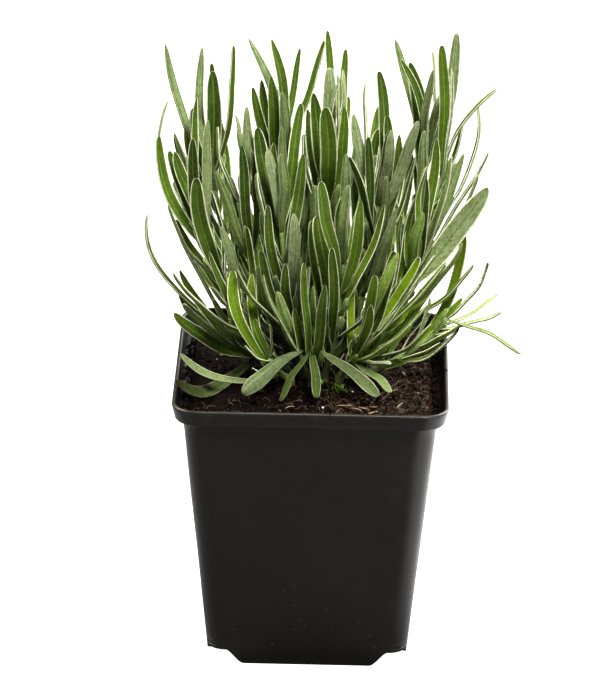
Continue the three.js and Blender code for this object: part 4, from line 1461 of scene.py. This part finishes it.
SHOOTS: tuple[Shoot, ...] = (
    Shoot("shoot_left_rear", (-9, 6), (-35, 11, 158), (
        Leaf((-50, 14, 201), 3.2, Look.LEFT_BACK), Leaf((-38, 22, 197), 2.9, Look.BACK),
        Leaf((-34, 12, 192), 5.2, bow=0), Leaf((-43, 13, 172), 3.2),
        Leaf((-27, 9, 202), 2.6, Look.RIGHT_FRONT, bow=-0.1, reach=50), Leaf((-38, 16, 136), 4.0, Look.BACK),
    )),
    Shoot("shoot_left_front", (-8, -2), (-36, -3, 144), (
        Leaf((-51, -1, 174), 4.3, Look.RIGHT_FRONT, bow=0.2), Leaf((-40, -13, 178), 3.9),
        Leaf((-48, 6, 184), 2.5, Look.RIGHT, bow=0.34, reach=52), Leaf((-38, -15, 165), 5.2),
        Leaf((-35, -5, 182), 3.2, Look.BACK, bow=0.04), Leaf((-39, 4, 186), 3.3, Look.LEFT_FRONT),
    )),
    Shoot("shoot_left_inner", (-5, 3), (-25, 4, 150), (
        Leaf((-24, -5, 173), 3.6, bow=0), Leaf((-23, 13, 180), 3.3, Look.BACK, bow=0),
        Leaf((-20, 1, 175), 3.6, Look.LEFT_FRONT, bow=-0.05),
    )),
    Shoot("shoot_centre_left", (-4, 9), (-12, 12, 160), (
        Leaf((2, 10, 204), 3.2, Look.LEFT_FRONT), Leaf((-23, 24, 200), 3.2, Look.BACK, bow=-0.34),
        Leaf((-15, 16, 202), 4.3, Look.RIGHT_FRONT, bow=-0.24), Leaf((-21, 12, 187), 3.5, bow=0),
        Leaf((-15, 6, 193), 3.9, bow=0), Leaf((-6, 26, 196), 2.5), Leaf((-2, 24, 151), 4.2, Look.BACK, bow=0),
    )),
    Shoot("shoot_centre_left_front", (-3, -3), (-11, -5, 146), (
        Leaf((-19, -2, 178), 5.2, bow=0), Leaf((-11, -5, 180), 3.2, Look.BACK, bow=0),
        Leaf((-15, -14, 156), 3.4), Leaf((-9, -20, 138), 3.4), Leaf((-17, -19, 142), 3.2),
        Leaf((-5, 0, 186), 3.8, bow=0), Leaf((-4, -2, 169), 3.9, bow=0),
    )),
    Shoot("shoot_centre", (2, 4), (5, 4, 168), (
        Leaf((3, 15, 206), 2.8), Leaf((4, 4, 197), 4.7, Look.BACK, bow=0), Leaf((9, 17, 199), 2.9),
        Leaf((-1, -4, 191), 4.8, bow=0), Leaf((3, -12, 189), 5.7), Leaf((9, -7, 188), 3.8, fresh=0.25),
        Leaf((-3, 16, 178), 4.2, bow=0),
    )),
    Shoot("shoot_centre_front", (4, -4), (10, -14, 136), (
        Leaf((2, -27, 169), 5.8, Look.RIGHT_FRONT, spoon=0.3), Leaf((10, -11, 173), 3.8, Look.BACK, bow=0),
        Leaf((15, -24, 162), 3.8), Leaf((1, -23, 156), 5.3), Leaf((6, -20, 144), 3.4, fresh=0.2),
    ), young=0.25),
    Shoot("shoot_right_centre", (8, 4), (21, 3, 150), (
        Leaf((12, 8, 180), 4.2, Look.BACK, bow=0), Leaf((20, 18, 191), 3.8, bow=0.14),
        Leaf((16, 13, 189), 2.6, Look.RIGHT, bow=-0.08), Leaf((23, 6, 180), 3.9),
        Leaf((17, -3, 176), 3.1, bow=0), Leaf((27, 0, 176), 3.6), Leaf((33, -6, 183), 3.9, Look.BACK, bow=0),
        Leaf((11, -19, 175), 3.9, Look.LEFT_FRONT, bow=0.16), Leaf((23, -12, 166), 3.1, Look.BACK),
        Leaf((12, 12, 164), 4.4, bow=0),
    )),
    Shoot("shoot_right_front", (13, 0), (34, -6, 138), (
        Leaf((39, -9, 178), 3.5, bow=0.05), Leaf((35, -4, 179), 3.4, Look.BACK, bow=0),
        Leaf((36, -16, 167), 3.6, Look.LEFT_FRONT), Leaf((56, -10, 162), 7.2, bow=0.02, felted=0.85),
        Leaf((48, -3, 171), 3.1, Look.BACK, bow=0.02), Leaf((44, -12, 173), 2.9, Look.RIGHT, fresh=0.25),
    ), young=0.5),
    Shoot("shoot_right_rear", (13, 8), (37, 12, 166), (
        Leaf((45, 15, 206), 3.8, Look.BACK), Leaf((30, 11, 197), 5.6),
        Leaf((25, 22, 201), 3.3, Look.LEFT_BACK, bow=0.04),
        Leaf((27, 5, 200), 3.1, Look.RIGHT_FRONT, bow=0.2), Leaf((37, 20, 198), 3.1, Look.LEFT),
    )),
    Shoot("shoot_right_outer", (17, 4), (41, 3, 160), (
        Leaf((40, 4, 205), 3.7, bow=0.04), Leaf((58, -2, 193), 2.7, Look.UP_LEFT, bow=-0.14, sag=-0.2),
        Leaf((43, -4, 200), 3.3, Look.LEFT, bow=0.04), Leaf((52, 14, 182), 2.9, Look.LEFT, bow=0.26),
        Leaf((56, 7, 168), 2.8, Look.UP_LEFT, bow=0),
    ), pairs=5),
    Shoot("shoot_front_right", (9, -8), (19, -17, 117), (
        Leaf((26, -25, 145), 4.4, Look.UP_FRONT), Leaf((20, -29, 138), 3.6, Look.UP_FRONT, fresh=0.3),
        Leaf((19, -26, 127), 3.4, Look.UP_FRONT, fresh=0.4),
        Leaf((39, -17, 141), 3.1, Look.UP_LEFT, bow=0, fresh=0.55),
        Leaf((43, -13, 137), 2.7, Look.UP_LEFT, bow=0, fresh=0.6),
        Leaf((37, -18, 124), 3.1, Look.UP_LEFT, bow=0, sag=0.2, fresh=0.65),
        Leaf((33, -22, 132), 2.9, Look.UP_LEFT, bow=0, fresh=0.5),
        Leaf((26, -28, 97), 3.5, Look.UP, sag=-0.1, felted=0.55, rim=0.4, dim=0.47),
        Leaf((26, -18, 103), 2.7, Look.UP, sag=-0.06, felted=1.0),
    ), rise=0.55, young=0.95),
    Shoot("shoot_right_low", (15, -5), (44, 2, 111), (
        Leaf((57, 8, 129), 3.6, Look.LEFT, bow=0.16, reach=24, dry=0.9),
        Leaf((61, 17, 114), 1.9, Look.UP, reach=26, fresh=0.1, felted=0.9),
        Leaf((62, 5, 113), 1.9, Look.UP, reach=22, fresh=0.15, felted=0.8),
        Leaf((69, -3, 101), 2.1, Look.UP, reach=24, sag=-0.1, fresh=0.1, rim=0.6),
        Leaf((48, -6, 112), 2.8, Look.UP_LEFT, reach=26, sag=0.3, fresh=0.2, dry=1.0),
        Leaf((49, 3, 141), 3.8, Look.LEFT_FRONT, reach=44, bow=0.16, fresh=0.45),
        Leaf((38, -7, 122), 3.2, Look.UP_LEFT, reach=26, fresh=0.6),
    ), pairs=1, young=0.55),
    Shoot("shoot_left_low", (-13, 1), (-28, 5, 108), (
        Leaf((-55, 9, 143), 3.4, Look.UP_RIGHT, bow=0.36, reach=50),
        Leaf((-44, -2, 128), 2.8, Look.UP_FRONT, bow=0.14), Leaf((-46, 2, 111), 4.4, Look.UP_FRONT, sag=0.16),
        Leaf((-45, 17, 112), 3.9, Look.UP_FRONT, sag=0.14),
        Leaf((-44, -25, 98), 5.0, Look.UP_FRONT, sag=0.36, reach=54, felted=0.45, spoon=0.1, rim=0.3,
             dim=0.92, dry=0.75),
        Leaf((-45, 14, 135), 2.5, Look.UP_RIGHT, bow=0.05, reach=54),
    ), pairs=1),
    Shoot("shoot_front_left", (-7, -10), (-14, -16, 103), (
        Leaf((-26, -17, 134), 4.2, bow=0.26, fresh=0.5, spoon=0.45),
        Leaf((-20, -9, 130), 3.6, bow=0.22, fresh=0.4, spoon=0.3),
        Leaf((-43, -16, 104), 2.9, Look.UP_FRONT, sag=0.3, felted=1.0, spoon=0.5, rim=0.7, dim=0.32),
        Leaf((-34, -5, 136), 2.6),
    ), pairs=0),
    Shoot("shoot_front", (0, -9), (0, -12, 106), (
        Leaf((-22, -28, 95), 6.4, Look.DOWN_BACK, sag=-0.12, reach=15, spoon=0.75, dim=0.57),
        Leaf((22, -27, 95), 4.7, Look.UP_FRONT, sag=-0.08, reach=15, felted=0.6, spoon=0.6, rim=0.6,
             dim=0.52),
        Leaf((2, -29, 95), 3.4, Look.UP, sag=-0.08, reach=15, spoon=0.3, rim=0.4, dim=0.47),
        Leaf((-10, -30, 94), 2.6, Look.UP, sag=-0.08, reach=15, spoon=0.3, rim=0.35, dim=0.52, dry=0.5),
        Leaf((-6, -16, 121), 3.7, Look.RIGHT_FRONT, fresh=0.2), Leaf((4, -25, 133), 3.6),
        Leaf((-3, -22, 139), 3.3, Look.RIGHT_FRONT),
    ), young=0.3),
    Shoot("shoot_back_left", (-5, 15), (-20, 30, 138), (
        Leaf((-29, 26, 137), 4.2, Look.BACK, reach=36), Leaf((-25, 23, 126), 4.0, Look.BACK, reach=32),
        Leaf((-10, 24, 150), 4.2, Look.BACK, bow=0, reach=42),
    )),
    Shoot("shoot_back_right", (8, 13), (19, 31, 140), (
        Leaf((26, 26, 139), 4.2, Look.BACK, bow=0, reach=36),
    )),
    Shoot("shoot_back", (1, 17), (0, 34, 122), (
        Leaf((-6, 28, 135), 4.0, Look.BACK, bow=0, reach=36),
    )),
)


@dataclass(frozen=True)
class GrowthRule:
    """The rule that places stems and leaves, in millimetres and degrees.

    All but the tufts are the same as in the solids. Pairs of numbers are a lowest and a highest.
    """

    collar: float = 2.2
    hole_depth: float = 16.0
    clearance: float = 0.35
    reach_out: float = 0.7
    rise_first: float = 0.36
    foot_radius: float = 1.35
    tip_radius: float = 0.7
    spacing: float = 10.7
    first_height: float = 8.0
    shortest: float = 20.0
    longest: float = 38.0
    width: float = 3.6
    low_lean: float = 52.0
    high_lean: float = 16.0
    recurve: float = 24.0
    lift: float = 0.35
    base_fresh: float = 0.7
    turn_spread: float = 0.25
    length_spread: float = 0.14
    lean_spread: float = 8.0
    width_spread: float = 0.16
    tuft_first: float = 5.0
    tuft_last: float = 0.93
    tuft_spacing: float = 7.5
    tuft_leaves: int = 3
    tuft_lean: tuple[float, float] = (20.0, 46.0)
    tuft_length: tuple[float, float] = (8.0, 17.0)
    tuft_fresh: tuple[float, float] = (0.15, 0.7)
    tuft_width: tuple[float, float] = (1.5, 2.5)
    tuft_lift: float = 0.25
    nudges: tuple[Point, ...] = (
        (0, 0, 0), (0, -2, 1), (0, 2, -1), (0, -5, 2), (0, 5, -2), (0, -8, 3), (0, 8, -3), (1, -11, 4),
        (-1, 11, -4), (-3, -2, 0), (3, 2, 0), (5, -4, 2), (-5, 4, 2), (-6, -5, 3), (6, 5, 3),
    )

    def stem(self, shoot: Shoot, soil: Soil) -> Blade:
        """Centre line of a shoot's stem above the soil.

        Args:
            shoot: The shoot.
            soil: The soil that it rises from.

        Returns:
            The line, as a blade without width.
        """
        x, y = shoot.foot
        start = np.array([x, y, soil.height(x, y) + self.collar])
        end = np.array(shoot.top, float)
        bend = start + (end - start) * self.reach_out
        rise = self.rise_first if shoot.rise is None else shoot.rise
        bend[2] = start[2] + (end[2] - start[2]) * rise
        return Blade(start, bend, end, 0.0, UPRIGHT)

    def prominent(self, shoot: Shoot, stem: Blade) -> list[Blade]:
        """The shoot's prominent leaves, which bow outwards between base and tip.

        Args:
            shoot: The shoot.
            stem: Centre line of the shoot's stem.

        Returns:
            The leaves, in the order of the table.
        """
        blades = []
        steps = np.arange(6, 20) / 20
        for leaf in shoot.leaves:
            tip = np.array(leaf.tip, float)
            near = np.linalg.norm(stem.point(steps) - tip, axis=1) < leaf.reach
            base = stem.point([steps[near.argmax()] if near.any() else 1.0])[0]
            length = np.linalg.norm(base - tip)
            control = (base + tip) / 2 + unit(tip * (1, 1, 0)) * leaf.bow * length
            control[2] -= leaf.sag * length
            blades.append(Blade(base, control, tip, leaf.width, np.array(leaf.look.value, float), leaf))
        return blades

    def pairs(self, shoot: Shoot, stem: Blade, seed: int) -> list[Blade]:
        """Opposite leaf pairs up the shoot, each a quarter turn on from the one below it.

        Args:
            shoot: The shoot.
            stem: Centre line of the shoot's stem.
            seed: Seed of the shoot's draws.

        Returns:
            The leaves, from the lowest pair up.
        """
        draws = Draws(seed)
        room = math.floor((stem.length - self.first_height) / self.spacing) + 1
        count = room if shoot.pairs is None else shoot.pairs
        blades = []
        for pair in range(count):
            share = (self.first_height + pair * self.spacing) / stem.length
            turn = pair * math.pi / 2 + seed + draws.about(self.turn_spread)
            blades += [self.ruled(stem, share, turn + side, shoot.young, draws) for side in (0, math.pi)]
        if count == room:
            blades += [self.ruled(stem, 1.0, turn + seed, shoot.young, draws) for turn in (0, math.pi)]
        return blades

    def ruled(self, stem: Blade, share: float, turn: float, young: float, draws: Draws) -> Blade:
        """One leaf of a pair: it leans out of the stem and curves up, and is fresher low down.

        Args:
            stem: Centre line of the shoot's stem.
            share: Where it leaves the stem, as a share of its length.
            turn: Its direction in plan.
            young: How fresh the shoot is.
            draws: The shoot's draws.

        Returns:
            The leaf.
        """
        middling = math.sin(math.pi * (0.15 + 0.65 * share))
        length = self.shortest + (self.longest - self.shortest) * middling
        length *= 1 + draws.about(self.length_spread)
        lean = self.low_lean + (self.high_lean - self.low_lean) * share + draws.about(self.lean_spread)
        leans = np.radians([lean, lean - self.recurve * (0.6 + draws.next())])
        width = self.width * (1 + draws.about(self.width_spread))
        fresh = self.base_fresh * float(smooth(0.6, 0.0, share)) + young
        return self.grown(stem, share, turn, leans, self.lift, length, width, fresh)

    def tufts(self, shoot: Shoot, stem: Blade, rng: Random) -> list[Blade]:
        """Small young leaves in whorls up the stem, between the leaf pairs and too fine for the solids.

        Args:
            shoot: The shoot.
            stem: Centre line of the shoot's stem.
            rng: Source of the random draws.

        Returns:
            The leaves, from the lowest whorl up.
        """
        blades = []
        for height in np.arange(self.tuft_first, stem.length * self.tuft_last, self.tuft_spacing):
            start = rng.uniform(0, FULL_TURN)
            for turn in start + np.arange(self.tuft_leaves) * FULL_TURN / self.tuft_leaves:
                turn += rng.normal(0, self.turn_spread)
                lean = math.radians(rng.uniform(*self.tuft_lean))
                length = rng.uniform(*self.tuft_length)
                fresh = rng.uniform(*self.tuft_fresh) + shoot.young / 2
                width = rng.uniform(*self.tuft_width)
                share, leans = height / stem.length, (lean, lean / 3)
                blades.append(self.grown(stem, share, turn, leans, self.tuft_lift, length, width, fresh))
        return blades

    @staticmethod
    def grown(stem: Blade, share: float, turn: float, leans: tuple[float, float], lift: float, length: float,
              width: float, fresh: float) -> Blade:
        """One leaf that grows out of the stem.

        Args:
            stem: The stem's line.
            share: Where it stands on the stem.
            turn: Its direction round the stem, in radians.
            leans: How far its lower and its upper half lean out of the stem, in radians.
            lift: How far its upper half turns upright.
            length: Its length.
            width: Its width.
            fresh: Its share of lime.

        Returns:
            The leaf, which faces the stem.
        """
        base, along = stem.point([share])[0], stem.tangent([share])[0]
        side = unit(np.cross([0.0, 1.0, 0.0], along))
        out = side * math.cos(turn) + np.cross(along, side) * math.sin(turn)
        first, second = (along * math.cos(lean) + out * math.sin(lean) for lean in leans)
        control = base + first * length / 2
        tip = control + unit(second + (0, 0, lift)) * length / 2
        return Blade(base, control, tip, width, -out + (0, 0, 0.4), Habit(fresh=fresh))


@dataclass(frozen=True)
class LeafForm:
    """Fine form of a leaf: its outline, section and small irregularities, in millimetres."""

    keel: float = 1.12
    thickness: float = 0.42
    channel: float = 0.36
    groove: float = 0.16
    lip: float = 0.2
    bead: float = 0.22
    margin_roll: float = 0.05
    rows: int = 28
    upper_points: int = 15
    lower_points: int = 11
    narrow_base: float = 0.27
    twist: float = 10.0
    wave: float = 0.35
    ripples: tuple[float, float] = (7.0, 9.0)
    blunt: tuple[float, float] = (0.3, 0.62)
    freshness: float = 0.22

    def outline(self, share: Array, pointed: float, spoon: float) -> Array:
        """Width at shares of the length: narrow base, strap-like middle, more or less blunt tip.

        Args:
            share: Shares of the length.
            pointed: How pointed the tip is, from 0 to 1.
            spoon: How far the leaf narrows towards its base, from 0 to 1.

        Returns:
            The width there, as a share of the greatest.
        """
        base = self.narrow_base
        rising = base + (1 - base) * np.sin(np.clip(share / 0.5, 0, 1) * math.pi / 2)
        rising *= 1 - spoon * np.clip(1 - share / 0.78, 0, 1) ** 0.8
        closing = np.clip(1 - np.clip((share - 0.56) / 0.44, 0, 1) ** 2.8, 0, 1) ** pointed
        return rising * closing

    def section(self) -> tuple[Array, Array, Array, Array]:
        """One closed section at unit half width.

        Returns:
            For each point its place across, from 1 round to -1 and back, its height without the
            keel and the channel, the keel's share of the height there and whether it is beneath.
        """
        above = np.cos(np.linspace(0.0, math.pi, self.upper_points))
        under = -np.cos(np.linspace(0.12 * math.pi, 0.88 * math.pi, self.lower_points))
        top = self.margin_roll * np.exp(-(((np.abs(above) - 0.93) / 0.05) ** 2))
        top -= self.groove * np.exp(-((above / 0.14) ** 2))
        top = np.where(np.abs(above) > 0.99, -self.bead, top)
        low = -self.thickness - self.lip * np.exp(-(((np.abs(under) - 0.84) / 0.1) ** 2))
        beneath = np.concatenate([np.zeros(len(above)), np.ones(len(under))])
        across = np.concatenate([above, under])
        return across, np.concatenate([top, low]), beneath * np.exp(-((across / 0.2) ** 2)), beneath

    def add(self, skin: Skin, blade: Blade, rng: Random) -> None:
        """Adds one leaf to a piece.

        Args:
            skin: The piece.
            blade: The leaf's middle line, width and face.
            rng: Source of its twist, waves and tone.
        """
        habit = blade.habit
        share = 1 - (1 - np.linspace(0, 1, self.rows)) ** 1.6
        share[-1] = 0.99998
        centre, along = blade.point(share), blade.tangent(share)
        across_way = unit(np.cross(along, blade.face))
        normal_way = np.cross(across_way, along)
        twist = (math.radians(rng.uniform(-self.twist, self.twist)) * share)[:, None]
        side = across_way * np.cos(twist) + normal_way * np.sin(twist)
        normal = normal_way * np.cos(twist) - across_way * np.sin(twist)
        phase = rng.uniform(0, FULL_TURN, 2)
        envelope = np.sin(np.clip(share, 0, 1) * math.pi) * self.wave
        for way, ripple, start in zip((side, normal), self.ripples, phase):
            centre = centre + way * (envelope * np.sin(ripple * share + start))[:, None]
        outline = self.outline(share, rng.uniform(*self.blunt), habit.spoon)[:, None]
        half = blade.width / 2 * outline
        place, height, rib, beneath = self.section()
        depth = np.minimum(1.0, 0.5 + outline / 2) * np.minimum(1.0, 0.25 + 1.4 * outline)
        keel = np.maximum(self.keel - self.thickness - self.channel * half, 0.1) * rib
        heights = (height - keel) * depth - self.channel * half * (1 - np.abs(place))
        points = centre[:, None] + side[:, None] * (half * place)[:, :, None]
        points = (points + normal[:, None] * heights[:, :, None]).reshape(-1, 3)
        skin.add(
            points, ring_faces(self.rows, len(place)),
            across=np.tile(np.abs(place), self.rows), along=np.repeat(share, len(place)),
            under=np.tile(np.maximum(beneath, habit.felted), self.rows), turned=np.tile(beneath, self.rows),
            tone=max(rng.uniform(), 0.8 * habit.felted),
            fresh=habit.fresh + self.freshness * rng.uniform() ** 3,
            # Painted shade deep in the plant, raised to the leaf's dim where that is greater.
            inner=np.maximum(inner_shade(points), habit.dim),
            rim=habit.rim * rng.uniform(0.5, 1.0), dry=habit.dry,
        )


@dataclass(frozen=True)
class Plant:
    """The young plant: its leafy shoots, each one piece that stands for its solid."""

    soil: Soil
    rule: GrowthRule = GrowthRule()
    form: LeafForm = LeafForm()
    small_form: LeafForm = LeafForm(0.7, 0.34, rows=12, upper_points=9, lower_points=6, wave=0.2)
    small_seed: int = 100
    tolerance: float = 0.06
    stem_rings: int = 16
    stem_sides: int = 10
    knots: float = 0.08

    def build(self, leaf: Material, stem: Material) -> None:
        """Makes every shoot of the plant, in the order that seeds its draws."""
        for seed, shoot in enumerate(SHOOTS, 1):
            self.build_shoot(shoot, seed, [leaf, stem])

    def build_shoot(self, shoot: Shoot, seed: int, materials: list[Material]) -> None:
        """Makes one shoot: its stem, those leaves that its solid has, where it has them, and its tufts.

        Args:
            shoot: The shoot.
            seed: Where its draws start.
            materials: The finishes of its leaves and its stem.
        """
        line = self.rule.stem(shoot, self.soil)
        skin = Skin()
        self.add_stem(skin, shoot, line)
        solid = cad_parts[shoot.name]
        corners = (np.array([tuple(v.co) for v in solid.data.vertices]) - AXIS) / MM
        rng = np.random.default_rng(seed)
        for blade in self.rule.prominent(shoot, line) + self.rule.pairs(shoot, line, seed):
            grown = self.as_grown(blade, corners)
            if grown is not None:
                self.form.add(skin, grown, rng)
        rng = np.random.default_rng(self.small_seed + seed)
        for blade in self.rule.tufts(shoot, line, rng):
            self.small_form.add(skin, blade, rng)
        skin.to_piece(shoot.name.replace("shoot", "sprig"), materials, shoot.name)

    def as_grown(self, blade: Blade, corners: Array) -> Blade | None:
        """The blade as the solid has it, or None where the solid has no such leaf.

        Args:
            blade: The leaf before it was bent clear of its neighbours.
            corners: Corner points of the shoot's solid.

        Returns:
            The blade whose tip is one of the solid's corners.
        """
        for shift in self.rule.nudges:
            bent = blade.moved(shift)
            if np.linalg.norm(corners - bent.tip, axis=1).min() < self.tolerance:
                return bent
        return None

    def add_stem(self, skin: Skin, shoot: Shoot, line: Blade) -> None:
        """Adds the stem: upright in the soil, then along its line, slightly knotted.

        Args:
            skin: The piece's skin, which is added to.
            shoot: The shoot.
            line: Centre line of the stem above the soil.
        """
        rule = self.rule
        x, y = shoot.foot
        foot = np.array([x, y, self.soil.height(x, y) - rule.hole_depth + rule.clearance])
        shares = np.linspace(0, 1, self.stem_rings)
        centres = np.vstack([foot, line.point(shares)])
        shares = np.concatenate([[0.0], shares])
        radii = rule.foot_radius + (rule.tip_radius - rule.foot_radius) * shares
        radii *= 1 + self.knots * np.sin(np.arange(len(radii)) * 2.1)
        points, faces = tube(centres, radii, self.stem_sides)
        # inner is the painted shade deep in the plant.
        skin.add(points, faces, 1, along=np.repeat(shares, self.stem_sides), inner=inner_shade(points))


def main() -> None:
    """Builds the studio, the pot, the peat with its litter and the plant."""
    logging.basicConfig(level=logging.INFO, format="%(message)s")
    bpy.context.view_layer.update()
    effects = Effects()
    Studio().build(effects)
    pot = Pot()
    pot.build(PlasticFinish().make(effects))
    soil = Soil(pot)
    peat = PeatFinish().make(effects)
    soil.build(peat)
    litter = Litter(soil)
    litter.build_crumbs(peat)
    litter.build_fibres(LitterFinish().make(effects))
    perlite = LitterFinish("perlite", dark=colour(0.30, 0.29, 0.27), pale=colour(0.72, 0.70, 0.66), rough=0.9)
    litter.build_perlite(perlite.make(effects))
    moss = LitterFinish("moss", dark=colour(0.040, 0.095, 0.008), pale=colour(0.19, 0.34, 0.030), rough=0.7)
    litter.build_moss(moss.make(effects))
    Plant(soil).build(LeafFinish().make(effects), StemFinish().make(effects))


if __name__ == "__main__":
    main()
